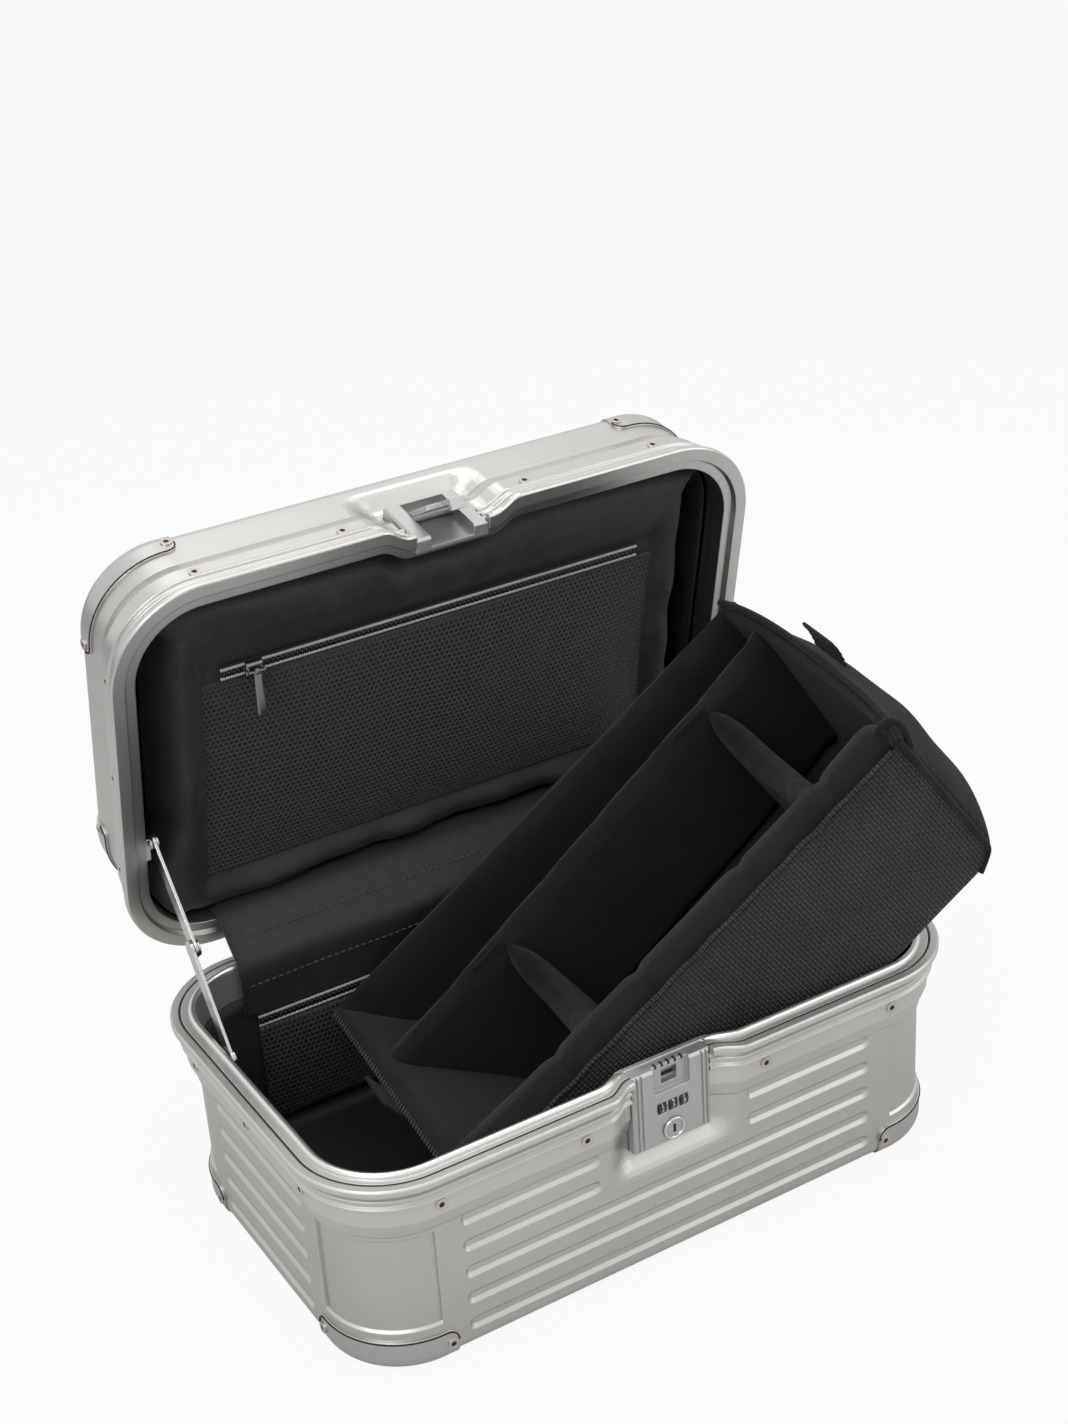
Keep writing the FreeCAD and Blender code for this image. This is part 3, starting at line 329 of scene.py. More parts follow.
darkMetal = satinMetal("gunmetal", (0.17, 0.16, 0.15), (0.27, 0.26, 0.245), 0.3, 300.0, bump=0.03)
liningCloth = clothMaterial("liningTwill", (0.0035, 0.0039, 0.0046), (0.017, 0.0188, 0.022), 1500.0,
                            roughness=0.46, sheen=0.1, motif=0.5, gloss=0.45)
napCloth = clothMaterial("blackNap", grey(0.0015), grey(0.0145), sheen=0.1, bump=1.0, nap=1.0, depth=0.0006)
nylonCloth = clothMaterial("coarseNylon", grey(0.0008), (0.052, 0.053, 0.055), 470.0, roughness=0.5,
                           sheen=0.05, bump=1.0, depth=0.0008)
tapeCloth = clothMaterial("zipTape", (0.006, 0.006, 0.007), (0.02, 0.02, 0.022), 1900.0)
threadCloth = clothMaterial("paleThread", grey(0.3), (0.62, 0.62, 0.6), nap=0.6)
seamThread = clothMaterial("greyThread", grey(0.05), (0.13, 0.13, 0.125), nap=0.6)
meshCloth = meshMaterial()
ribCloth = ribbedMaterial()
rubber = mouldedMaterial("sealRubber", grey(0.012), grey(0.03), 0.6)
gripPlastic = mouldedMaterial("gripPlastic", (0.012, 0.012, 0.013), (0.03, 0.03, 0.031), 0.45)
dialPlastic = mouldedMaterial("dialPlastic", grey(0.008), grey(0.025), 0.35)
whitePaint = mouldedMaterial("whiteNumerals", grey(0.6), grey(0.75), 0.5)
# Near-black for painted shade in the rivet hollows, keyway, lock socket and lock notches, and for the dark
# seams round the caps
shadeAndSeamDark = mouldedMaterial("paintedShadeAndSeamDark", grey(0.004), (0.012, 0.011, 0.01), 0.7)

finishes = {
    baseMetal: ("base_shell",), lidMetal: ("lid_shell",), baseRim: ("base_frame",), lidRim: ("lid_frame",),
    capMetal: tuple(name for name in nodes if "_cap_" in name and "rivets" not in name),
    rivetMetal: tuple(name for name in nodes if name.endswith("_rivets")),
    zincMetal: ("lock_body", "latch_housing", "latch_lever", "key_cylinder", "handle_brackets"),
    brightMetal: ("stay_upper_link", "stay_lower_link", "stay_base_bracket", "stay_lid_bracket", "hinge_pins",
                  "latch_pin", "dial_axle", "hinge_base_leaves", "hinge_lid_leaves"),
    darkMetal: ("zip_slider", "lock_catch"),
    rubber: ("rim_seal",), gripPlastic: ("handle_grip",),
    dialPlastic: ("number_dial_1", "number_dial_2", "number_dial_3"),
}
for finish, names in finishes.items():
    for name in names:
        nodes[name].data.materials.clear()
        nodes[name].data.materials.append(finish)
print("materials made:", len(bpy.data.materials))


# Mesh helpers
def addObject(name, data):
    made = bpy.data.objects.new(name, data)
    bpy.context.scene.collection.objects.link(made)
    return made


def finalMesh(item):
    return bpy.data.meshes.new_from_object(item.evaluated_get(bpy.context.evaluated_depsgraph_get()))


def dressed(name, mesh, finish, turn=upright):
    mesh.name = name
    mesh.transform(turn)
    mesh.materials.clear()
    mesh.materials.append(finish)
    mesh.polygons.foreach_set("use_smooth", [True] * len(mesh.polygons))
    return addObject(name, mesh)


def newPiece(name, bm, finish, turn=upright):
    mesh = bpy.data.meshes.new(name)
    bm.to_mesh(mesh)
    bm.free()
    return dressed(name, mesh, finish, turn)


def settled(piece):
    made = finalMesh(piece)
    piece.modifiers.clear()
    piece.data = made
    return piece


def mount(piece, slot, body, *replaced):
    if replaced:
        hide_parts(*replaced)
    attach(piece, body)


def boxCentre(node):
    low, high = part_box(node)
    return (low + high) / 2


# Map in metres: each face takes the two directions that it lies along, in the piece's own turned frame
def mapInMetres(piece, turn=upright):
    mesh = piece.data
    back = turn.inverted()
    layer = mesh.uv_layers.new(name="UVMap") if not mesh.uv_layers else mesh.uv_layers[0]
    for face in mesh.polygons:
        normal = back.to_3x3() @ face.normal
        axis = max(range(3), key=lambda i: abs(normal[i]))
        first, second = [(1, 2), (0, 2), (0, 1)][axis]
        for loop in face.loop_indices:
            point = back @ mesh.vertices[mesh.loops[loop].vertex_index].co
            layer.data[loop].uv = (point[first], point[second])


# Cloth from a grid, in its place, with a thickness and a map in metres
def clothPiece(name, bm, finish, thickness, turn=upright, offset=-1.0):
    piece = newPiece(name, bm, finish, turn)
    side = piece.modifiers.new("wall", "SOLIDIFY")
    side.thickness, side.offset = thickness, offset
    settled(piece)
    mapInMetres(piece, turn)
    return piece


def ease(value):
    value = max(0.0, min(1.0, value))
    return value * value * (3 - 2 * value)


# Eased rise from 0 to 1 that begins at one value and takes a run
def climb(value, start, run):
    return ease((value - start) / run)


def spaced(low, high, steps):
    return [low + (high - low) * i / steps for i in range(steps + 1)]


def ripple(point, scale, seed=0.0):
    return noise.noise(Vector((point[0] * scale, point[1] * scale, point[2] * scale + seed)))


def vertsOf(grown):
    return [item for item in grown if isinstance(item, bmesh.types.BMVert)]


# Distance from the centre to the edge of a square and of a rounded plan, along one direction
def edgeReach(x, y, halfX, halfY, radius):
    span = hypot(x, y)
    dx, dy = abs(x) / span, abs(y) / span
    square = min(halfX / dx if dx else inf, halfY / dy if dy else inf)
    cx, cy = halfX - radius, halfY - radius
    if square * dx <= cx or square * dy <= cy:
        return square, square
    along = dx * cx + dy * cy
    return square, along + sqrt(max(0.0, along * along - cx * cx - cy * cy + radius * radius))


# Grid of one by one about the origin
def unitGrid(columns, rows):
    bm = bmesh.new()
    bmesh.ops.create_grid(bm, x_segments=columns, y_segments=rows, size=0.5)
    return bm


def clothGrid(low, high, spacing):
    wide, tall = high[0] - low[0], high[1] - low[1]
    bm = unitGrid(round(wide / spacing), round(tall / spacing))
    bmesh.ops.scale(bm, vec=(wide, tall, 1), verts=bm.verts)
    bmesh.ops.translate(bm, vec=((low[0] + high[0]) / 2, (low[1] + high[1]) / 2, 0), verts=bm.verts)
    return bm


tiny = 1e-6


def roundedSheet(halfX, halfY, radius, spacing):
    bm = clothGrid((-halfX, -halfY), (halfX, halfY), spacing)
    for vert in bm.verts:
        if vert.co.length > tiny:
            square, rounded = edgeReach(vert.co.x, vert.co.y, halfX, halfY, radius)
            vert.co *= rounded / square
    return bm


def tubePiece(name, points, radius, finish, turn=upright, closed=False):
    curve = bpy.data.curves.new(name, "CURVE")
    curve.dimensions = "3D"
    curve.bevel_depth, curve.bevel_resolution, curve.use_fill_caps = radius, 2, True
    spline = curve.splines.new("NURBS")
    spline.points.add(len(points) - 1)
    for made, point in zip(spline.points, points):
        made.co = (*point, 1)
    spline.use_cyclic_u, spline.use_endpoint_u, spline.order_u = closed, not closed, 3
    drawn = addObject(name + "Line", curve)
    mesh = finalMesh(drawn)
    bpy.data.objects.remove(drawn)
    return dressed(name, mesh, finish, turn)


def addBar(bm, size, place, spin=upright, edge=0.0):
    shape = Matrix.Translation(place) @ spin @ Matrix.Diagonal((*size, 1))
    made = bmesh.ops.create_cube(bm, size=1.0, matrix=shape)
    if edge:
        lines = list(dict.fromkeys(line for vert in made["verts"] for line in vert.link_edges))
        bmesh.ops.bevel(bm, geom=lines, offset=edge, affect="EDGES", segments=2, profile=0.5, material=-1)


# Piece made of equal bars
def barsPiece(name, finish, size, places, turn=upright, spin=upright, edge=0.0):
    bm = bmesh.new()
    for place in places:
        addBar(bm, size, place, spin, edge)
    return newPiece(name, bm, finish, turn)


# Flat outline pushed out along one direction, with rounded edges
def softSlab(points, direction, edge):
    bm = bmesh.new()
    face = bm.faces.new([bm.verts.new(point) for point in points])
    grown = bmesh.ops.extrude_face_region(bm, geom=[face])["geom"]
    bmesh.ops.translate(bm, vec=direction, verts=vertsOf(grown))
    bmesh.ops.recalc_face_normals(bm, faces=bm.faces)
    bmesh.ops.bevel(bm, geom=bm.edges[:], offset=edge, affect="EDGES", segments=3, profile=0.5, material=-1)
    return bm


# Camera, solved on the case's two rims in the photograph
view = dict(place=(-0.47578, -0.82013, 0.73617), turn=(1.1008476, 0.0591825, -0.5522945), lens=56.93,
            sensor=36.0, near=0.01)
lens = bpy.data.cameras.new("camera")
lens.lens, lens.sensor_width, lens.clip_start = view["lens"], view["sensor"], view["near"]
camera = addObject("camera", lens)
camera.location, camera.rotation_euler = view["place"], view["turn"]
bpy.context.scene.camera = camera

# Studio: pale floor, surroundings that are white to the eye and in mirror images, three soft lamps
studio = dict(floorSize=60.0, floorTone=0.7, floorRough=0.9, floorWhite=0.9, surround=0.42,
              aim=(0, 0, 0.12), lamps=(("keyLamp", (-1.25, -0.85, 1.6), 1.2, 18.0),
              ("fillLamp", (1.3, -0.9, 1.1), 1.4, 6.0), ("topLamp", (0.1, 0.3, 1.9), 1.6, 14.0)))
white = (1, 1, 1, 1)


def makeSurround():
    world = bpy.data.worlds.new("studio")
    bpy.context.scene.world = world
    world.use_nodes = True
    tree = world.node_tree
    tree.nodes.clear()
    path = put(tree, "LightPath", {})
    seen = calc(tree, "MAXIMUM", path.outputs["Is Camera Ray"], path.outputs["Is Glossy Ray"])
    seen = calc(tree, "MAXIMUM", seen, path.outputs["Is Transmission Ray"])
    lit, bright = [put(tree, "Background", {0: white, 1: level}) for level in (studio["surround"], 1.0)]
    mixed = put(tree, "MixShader", {0: seen, 1: lit.outputs[0], 2: bright.outputs[0]})
    put(tree, "OutputWorld", {0: mixed.outputs[0]})


def makeFloor():
    bm = bmesh.new()
    bmesh.ops.create_grid(bm, x_segments=1, y_segments=1, size=studio["floorSize"] / 2)
    mat, tree, shader = newMaterial("paleFloor", studio["floorRough"])[:3]
    shader.inputs["Base Color"].default_value = (*grey(studio["floorTone"]), 1)
    path = put(tree, "LightPath", {})
    glow = put(tree, "Emission", {0: white, 1: 1.0})
    share = calc(tree, "MULTIPLY", path.outputs["Is Camera Ray"], studio["floorWhite"])
    mixed = put(tree, "MixShader", {0: share, 1: shader.outputs[0], 2: glow.outputs[0]})
    tree.links.new(mixed.outputs[0], tree.nodes["Material Output"].inputs[0])
    floor = newPiece("floor", bm, mat)


makeSurround()
makeFloor()
for name, place, size, power in studio["lamps"]:
    lamp = bpy.data.lights.new(name, "AREA")
    lamp.shape, lamp.size, lamp.energy = "DISK", size, power
    holder = addObject(name, lamp)
    holder.location = place
    holder.rotation_euler = (Vector(studio["aim"]) - Vector(place)).to_track_quat("-Z", "Y").to_euler()
bpy.context.scene.view_settings.view_transform = "Standard"
print("studio ready")

# Step in the rims behind the lock, and sizes that several pieces share
rim = dict(depth=0.007, half=0.023, run=0.015, radius=0.049)
lidSize = dict(tall=0.0615, roof=0.0064)
linerLow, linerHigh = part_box("base_lining")
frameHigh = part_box("base_frame")[1]
parting = hinge.z
mirror = Matrix.Diagonal((1, 1, -1, 1))
lidPlace = lidTurn @ Matrix.Translation((0, 0, parting))


# How far the front wall steps in behind the lock, at one place along it
def jogShift(x):
    return rim["depth"] * ease((rim["half"] + rim["run"] - abs(x)) / rim["run"])


# Fabric tray: floor, rounded foot and wall, with the step behind the lock
liner = dict(wall=0.002, foot=0.006, footSteps=4, spacing=0.006, rows=12, wave=0.0007, lip=0.0183,
             recess=0.044, fade=0.013, front=(0.03, 0.02), coarse=24, fine=(60, 3), fineShare=0.6,
             outMost=-0.4, wallFade=0.02, floorWave=(40, 9), floorFade=0.01)


def linerTray(name, tall, turn):
    foot, wave = liner["foot"], liner["wave"]
    halfX, halfY = linerHigh.x - liner["wall"], linerHigh.y - liner["wall"]
    radius = halfY - (frameHigh.y - rim["radius"])
    bm = roundedSheet(halfX - foot, halfY - foot, radius - foot, liner["spacing"])
    angles = spaced(0, pi / 2, liner["footSteps"])[1:]
    steps = [(foot * sin(a), foot * (1 - cos(a))) for a in angles]
    steps += [(foot, up) for up in spaced(foot, tall, liner["rows"])[1:]]
    edges = [edge for edge in bm.edges if edge.is_boundary]
    before = (0.0, 0.0)
    for out, up in steps:
        grown = bmesh.ops.extrude_edge_only(bm, edges=edges)["geom"]
        edges = [item for item in grown if isinstance(item, bmesh.types.BMEdge)]
        for vert in vertsOf(grown):
            core = Vector((max(-halfX + radius, min(halfX - radius, vert.co.x)),
                           max(-halfY + radius, min(halfY - radius, vert.co.y)), vert.co.z))
            vert.co += (vert.co - core).normalized() * (out - before[0]) + Vector((0, 0, up - before[1]))
        before = (out, up)
    near, run = liner["front"]
    for vert in bm.verts:
        deep = tall + liner["lip"] - vert.co.z
        share = ease((liner["recess"] + liner["fade"] - deep) / liner["fade"])
        vert.co.y += jogShift(vert.co.x) * share * climb(-vert.co.y, halfY - near, run)
        inside = Vector((-vert.co.x, -vert.co.y, 0)).normalized()
        sag = ripple(vert.co, liner["coarse"]) + liner["fineShare"] * ripple(vert.co, *liner["fine"])
        vert.co += inside * wave * max(liner["outMost"], sag) * ease(vert.co.z / liner["wallFade"])
        lift = max(0.0, ripple(vert.co, *liner["floorWave"]))
        vert.co.z += wave * lift * (1 - ease(vert.co.z / liner["floorFade"]))
    bmesh.ops.recalc_face_normals(bm, faces=bm.faces)
    if sum(face.normal.z for face in bm.faces) < 0:
        bmesh.ops.reverse_faces(bm, faces=bm.faces)
    return clothPiece(name, bm, liningCloth, liner["wall"] - wave, turn)


baseFloor = linerLow.z + liner["wall"]
baseLiner = linerTray("baseLiner", linerHigh.z - baseFloor, Matrix.Translation((0, 0, baseFloor)))
mount(baseLiner, "lining_fabric", "base", "base_lining")
lidInside = lidSize["tall"] - lidSize["roof"]
lidLiner = linerTray("lidLiner", lidInside - liner["lip"],
                     lidTurn @ Matrix.Translation((0, 0, parting + lidInside)) @ mirror)
lidLiner.data.flip_normals()
mount(lidLiner, "lining_fabric", "lid", "lid_lining")
print("linings made")

# Lining panel of the lid: puffed border round the pocket, tucked edge, drawn in at both sides
lidPanel = dict(halfX=0.1653, halfY=0.0953, radius=0.0343, level=0.014, thickness=0.0012, puff=0.0062,
                wave=0.0032, tuck=0.009, spacing=0.0032, pull=0.011, sink=0.009, spare=0.0075,
                jog=(0.055, 0.04), below=0.012, puffRun=1.05, puffPower=0.7, puffEnd=0.95, foldRound=3,
                foldOut=8, foldScale=2.2, foldFade=0.012, tuckRun=(0.72, 0.28), foldEnd=(0.8, 0.2),
                gapX=(0.12, 0.045), gapTop=(-0.08, 0.05), gapFoot=(-0.094, 0.02), sinkX=(0.148, 0.015))
pocket = dict(halfX=0.131, low=-0.0425, high=0.078, sag=0.0048, spacing=0.003, thickness=0.0009,
              crease=0.0024, lift=0.0006, footShare=0.7, slope=0.6, coarse=21, fine=(80, 4), fineShare=0.25)


def makeLidPanel():
    size = (lidPanel["halfX"], lidPanel["halfY"], lidPanel["radius"])
    bm = roundedSheet(*size, lidPanel["spacing"])
    for vert in bm.verts:
        x, y = vert.co.x, vert.co.y
        vert.co.y += jogShift(x) * climb(-y, *lidPanel["jog"])
        overX = max(0.0, abs(x) - pocket["halfX"])
        overY = max(0.0, y - pocket["high"], pocket["low"] - lidPanel["below"] - y)
        square, rounded = edgeReach(x or tiny, y, *size)
        toEdge = max(0.0, (square - hypot(x, y)) * rounded / square)
        away = hypot(overX, overY)
        share = away / (away + toEdge) if away else 0.0
        puff = 0.0
        if 0 < share < lidPanel["puffEnd"]:
            swell = sin(pi * min(1.0, share * lidPanel["puffRun"]))
            puff = lidPanel["puff"] * swell ** lidPanel["puffPower"]
        turn = atan2(y, x)
        ring = (cos(turn) * lidPanel["foldRound"], sin(turn) * lidPanel["foldRound"],
                away * lidPanel["foldOut"])
        fold = ripple(ring, lidPanel["foldScale"]) * lidPanel["wave"] * ease(away / lidPanel["foldFade"])
        tuck = lidPanel["tuck"] * climb(share, *lidPanel["tuckRun"])
        vert.co.z = lidPanel["level"] - puff - fold * (1 - climb(share, *lidPanel["foldEnd"])) + tuck
        gap = climb(-y, *lidPanel["gapTop"]) * climb(y, *lidPanel["gapFoot"])
        gap *= climb(abs(x), *lidPanel["gapX"])
        vert.co.x -= copysign(lidPanel["pull"] * gap, x)
        vert.co.z += lidPanel["sink"] * gap * climb(abs(x), *lidPanel["sinkX"])
    bmesh.ops.reverse_faces(bm, faces=bm.faces)
    piece = clothPiece("lidPanelCloth", bm, liningCloth, lidPanel["thickness"], lidPlace)
    mount(piece, "lining_fabric", "lid", "lid_panel")


def makeLidPocket():
    bm = clothGrid((-pocket["halfX"], pocket["low"]), (pocket["halfX"], pocket["high"]), pocket["spacing"])
    middle = (pocket["low"] + pocket["high"]) / 2
    for vert in bm.verts:
        x, y = vert.co.x / pocket["halfX"], (vert.co.y - middle) / (pocket["high"] - middle)
        full = (1 - x * x) * (1 - max(0, y) ** 4) * (1 - pocket["footShare"] * max(0, -y) ** 3)
        broad = ripple((vert.co.x, vert.co.y * pocket["slope"], 0), pocket["coarse"])
        crease = pocket["crease"] * (broad + pocket["fineShare"] * ripple(vert.co, *pocket["fine"]))
        vert.co.z = lidPanel["level"] - pocket["lift"] - pocket["sag"] * full - crease * full
    bmesh.ops.reverse_faces(bm, faces=bm.faces)
    piece = clothPiece("lidMeshPocket", bm, meshCloth, pocket["thickness"], lidPlace)
    mount(piece, "mesh_fabric", "lid", "lid_mesh_pocket")


# Coil zip: woven tape, two pale edge lines and two rows of teeth
zipper = dict(tape=0.0006, edge=0.0002, line=0.0014, lineRise=0.0008, lineOff=0.0026, pitch=0.0013,
              stitch=0.85, slant=0.5, tooth=(0.0008, 0.0026, 0.0008), stagger=0.0005)
lidZip = dict(halfX=0.12, width=0.009, place=-0.047, level=0.0128)


def makeZip(stem, halfX, width, turn, body, node):
    pitch, rise = zipper["pitch"], zipper["tape"] / 2 + zipper["lineRise"] / 2
    count = int(2 * halfX / pitch)
    tape = barsPiece(stem + "Tape", tapeCloth, (2 * halfX, width, zipper["tape"]), [(0, 0, 0)], turn,
                     edge=zipper["edge"])
    mapInMetres(tape, turn)
    mount(tape, "zip_tape", body, node)
    places = [(-halfX + (step + 0.5) * pitch, side * zipper["lineOff"], rise)
              for side in (-1, 1) for step in range(count)]
    size = (pitch * zipper["stitch"], zipper["line"], zipper["lineRise"])
    slant = Matrix.Rotation(zipper["slant"], 4, "Z")
    lines = barsPiece(stem + "Lines", threadCloth, size, places, turn, slant)
    mount(lines, "zip_tape", body)
    places = [(-halfX + (step + 1.5) * pitch, zipper["stagger"] * (1 if step % 2 else -1), rise)
              for step in range(count - 2)]
    mount(barsPiece(stem + "Teeth", dialPlastic, zipper["tooth"], places, turn), "zip_tape", body)


makeLidPanel()
makeLidPocket()
zipTurn = lidPlace @ Matrix.Translation((0, lidZip["place"], lidZip["level"]))
zipTurn = zipTurn @ Matrix.Rotation(pi, 4, "X")
makeZip("lidZip", lidZip["halfX"], lidZip["width"], zipTurn, "lid", "lid_zip")
print("lid inside made")

# Pocket on the base's back wall, and its zip
basePocket = dict(sag=0.004, spacing=0.004, thickness=0.0012, crease=0.0008, scale=40, off=0.0016,
                  zipOff=0.0012)


def makeBasePocket():
    quarter = Matrix.Rotation(pi / 2, 4, "X")
    low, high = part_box("base_pocket")
    wide, tall = high.x, (high.z - low.z) / 2
    bm = clothGrid((-wide, -tall), (wide, tall), basePocket["spacing"])
    for vert in bm.verts:
        x, y = vert.co.x / wide, vert.co.y / tall
        full = (1 - x ** 4) * (1 - min(1, abs(y)) ** 3)
        vert.co.z = full * (basePocket["sag"] + basePocket["crease"] * ripple(vert.co, basePocket["scale"]))
    turn = Matrix.Translation((0, high.y - basePocket["off"], (low.z + high.z) / 2)) @ quarter
    piece = clothPiece("baseMeshPocket", bm, meshCloth, basePocket["thickness"], turn)
    mount(piece, "mesh_fabric", "base", "base_pocket")
    low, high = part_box("base_pocket_zip")
    turn = Matrix.Translation((0, low.y + basePocket["zipOff"], (low.z + high.z) / 2)) @ quarter
    makeZip("basePocketZip", high.x, high.z - low.z, turn, "base", "base_pocket_zip")


makeBasePocket()

# Fabric flap over the hinges, from the base's back wall up to the lid's panel
flap = dict(halfX=0.132, spacing=0.004, thickness=0.0012, wave=0.0016, steps=24, slackRun=1.15,
            rowStep=0.004, scale=30, hang=0.5, share=0.7, stitch=0.004, stitchShare=0.62, thread=0.0005,
            stitchLift=0.85, stitchRows=(6, 15), path=((0.0944, 0.0826), (0.0942, 0.098), (0.0948, 0.1135),
            (0.1035, 0.1225), (0.1142, 0.1332), (0.1262, 0.1354)),
            blend=((0, 0.0944, 0.105), (0, 0.1152, 0.132)))


# Smooth curve through points in a plane
def smoothPath(points, steps):
    made = []
    last = len(points) - 1
    for i in range(steps + 1):
        t = i / steps * last
        k = min(int(t), last - 1)
        u = t - k
        a, b, c, d = [Vector(points[max(0, min(last, k + j))]) for j in (-1, 0, 1, 2)]
        bend, twist = 2 * a - 5 * b + 4 * c - d, 3 * b - a - 3 * c + d
        made.append(0.5 * (2 * b + (c - a) * u + bend * u * u + twist * u ** 3))
    return made


flapPath = smoothPath(flap["path"], flap["steps"])


def flapPoint(x, row):
    slack = sin(pi * min(1, row / flap["steps"] * flap["slackRun"])) * flap["wave"]
    wave = slack * ripple((x, row * flap["rowStep"], 0), flap["scale"]) - slack * flap["hang"]
    return Vector((x, flapPath[row].x + wave * flap["share"], flapPath[row].y + wave * flap["share"]))


def makeFlap():
    steps, halfX = flap["steps"], flap["halfX"]
    bm = unitGrid(round(2 * halfX / flap["spacing"]), steps)
    for vert in bm.verts:
        row = min(steps, max(0, round((vert.co.y + 0.5) * steps)))
        vert.co = flapPoint(vert.co.x * 2 * halfX, row)
    span = sum((b - a).length for a, b in zip(flapPath[:-1], flapPath[1:]))
    bmesh.ops.recalc_face_normals(bm, faces=bm.faces)
    piece = clothPiece("hingeFlapCloth", bm, liningCloth, flap["thickness"], offset=0.0)
    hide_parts("hinge_flap")
    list(flap["blend"])
    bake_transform(piece)
    places = []
    for row in flap["stitchRows"]:
        ahead = flapPath[row + 1] - flapPath[row]
        tilt = atan2(ahead.y, ahead.x)
        lift = Vector((0, -sin(tilt), cos(tilt))) * flap["thickness"] * flap["stitchLift"]
        places += [flapPoint(-halfX + (i + 1.5) * flap["stitch"], row) + lift
                   for i in range(int(2 * halfX / flap["stitch"]) - 2)]
    size = (flap["stitch"] * flap["stitchShare"], flap["thread"], flap["thread"])
    seams = barsPiece("hingeFlapStitches", seamThread, size, places)
    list(flap["blend"])
    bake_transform(seams)


makeFlap()
print("pocket and flap made")

# Divider insert, in its own frame: length, depth and height from its lower left front corner
insert = dict(tilt=37.0, yaw=-6.0, heel=(-0.002, -0.0776, 0.0067), length=0.25, lean=0.047, depth=0.162,
              height=0.106, wall=0.006, skin=0.004, pad=0.014, bow=0.014, voxel=0.003, cap=0.003,
              round=0.0022, frames=20, quality=4, squashAxis=(0.498, -0.085, 0.863), squashKeep=0.38)
length, depth, height, lean, wall = (insert[key] for key in ("length", "depth", "height", "lean", "wall"))
insertTurn = (Matrix.Translation(insert["heel"]) @ Matrix.Rotation(-radians(insert["tilt"]), 4, "Y")
              @ Matrix.Rotation(radians(insert["yaw"]), 4, "Z"))


def finishInsert(piece, *replaced, fill=0.0):
    mapInMetres(piece)
    piece.data.transform(insertTurn)
    smooth = piece.modifiers.new("smooth", "SUBSURF")
    smooth.levels = smooth.render_levels = 1
    settled(piece)
    if replaced:
        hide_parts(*replaced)
    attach(piece, "insert")
    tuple(insert["squashAxis"])
    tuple(insert["heel"])
    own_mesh(piece)


# Voxel remesh, then a short cloth run under inner pressure, with a cap on how far a point moves
def inflated(name, bm, pressure):
    piece = newPiece(name, bm, napCloth)
    shape = piece.modifiers.new("voxels", "REMESH")
    shape.mode, shape.voxel_size, shape.use_smooth_shade = "VOXEL", insert["voxel"], True
    settled(piece)
    rest = [vert.co.copy() for vert in piece.data.vertices]
    cloth = piece.modifiers.new("cloth", "CLOTH")
    cloth.settings.use_pressure, cloth.settings.uniform_pressure_force = True, pressure
    cloth.settings.effector_weights.gravity = 0.0
    cloth.settings.quality = insert["quality"]
    cloth.point_cache.frame_start, cloth.point_cache.frame_end = 1, insert["frames"]
    scene = bpy.context.scene
    for number in range(1, insert["frames"] + 1):
        scene.frame_set(number)
    settled(piece)
    scene.frame_set(1)
    for vert, start in zip(piece.data.vertices, rest):
        move = vert.co - start
        if move.length > insert["cap"]:
            vert.co = start + move.normalized() * insert["cap"]
    piece.data.polygons.foreach_set("use_smooth", [True] * len(piece.data.polygons))
    return piece


def insertTube(name, points, radius, finish):
    finishInsert(tubePiece(name, points, radius, finish))


# Long side of the insert seen from the front, its left edge leaning out
def sideOutline(low, high, left, right, place):
    slope = lean / height
    corners = (left - slope * low, low), (right, low), (right, high), (left - slope * high, high)
    return [Vector((x, place, z)) for x, z in corners]


# Right end, bowed outwards, in ribbed webbing over a napped inside, with a rounded lower corner
rightEnd = dict(top=0.008, belly=0.012, piping=0.0016, binding=0.0022, sharp=3.2, corner=0.012,
                bellyRun=0.4, footShare=0.25, footRun=0.02, columns=46, rows=24, slump=0.003, slumpFrom=0.7,
                wave=0.0009, scale=30, innerBow=0.8, innerTuck=0.002, pipingIn=0.0015, pipingOut=0.0002,
                pipingWave=0.0006, bindingIn=0.0012, pipingSteps=20, bindingSteps=24,
                curl=((-0.005, 0.011, 0.004), (0.001, 0.008, 0.0085), (0.0045, 0.004, 0.005),
                (0.0035, 0.002, -0.002), (0.001, 0.0008, -0.009)))


def endReach(y, z):
    across = 1 - abs(2 * y / depth - 1) ** rightEnd["sharp"]
    lower = ease((height - z) / (rightEnd["bellyRun"] * height))
    foot = 1 - rightEnd["footShare"] + rightEnd["footShare"] * ease(z / rightEnd["footRun"])
    return (rightEnd["top"] + rightEnd["belly"] * lower) * across * foot


# How far the rounded lower corner draws the right end in, at one height
def cornerCut(z):
    radius = rightEnd["corner"]
    return radius - sqrt(radius ** 2 - max(0.0, min(radius, radius - z)) ** 2)


# How far the padded front wall swells past its cut size, and the pleats pressed into it
padFull = dict(rise=0.005, near=0.0042, swell=0.007, round=0.0085, tuck=0.003, past=0.002,
               pleats=(0.03, 0.085, 0.155, 0.21), pleat=0.0016, sway=0.012, turns=30, wide=0.0025,
               topWide=0.003, topRun=0.012)
# Back wall, left end and floor: laps, clearances and rounding
plainWalls = dict(lap=0.001, out=0.003, past=0.005, clear=0.002, lift=0.0006, floorIn=0.01,
                  floorRound=0.0018, bowSteps=10)


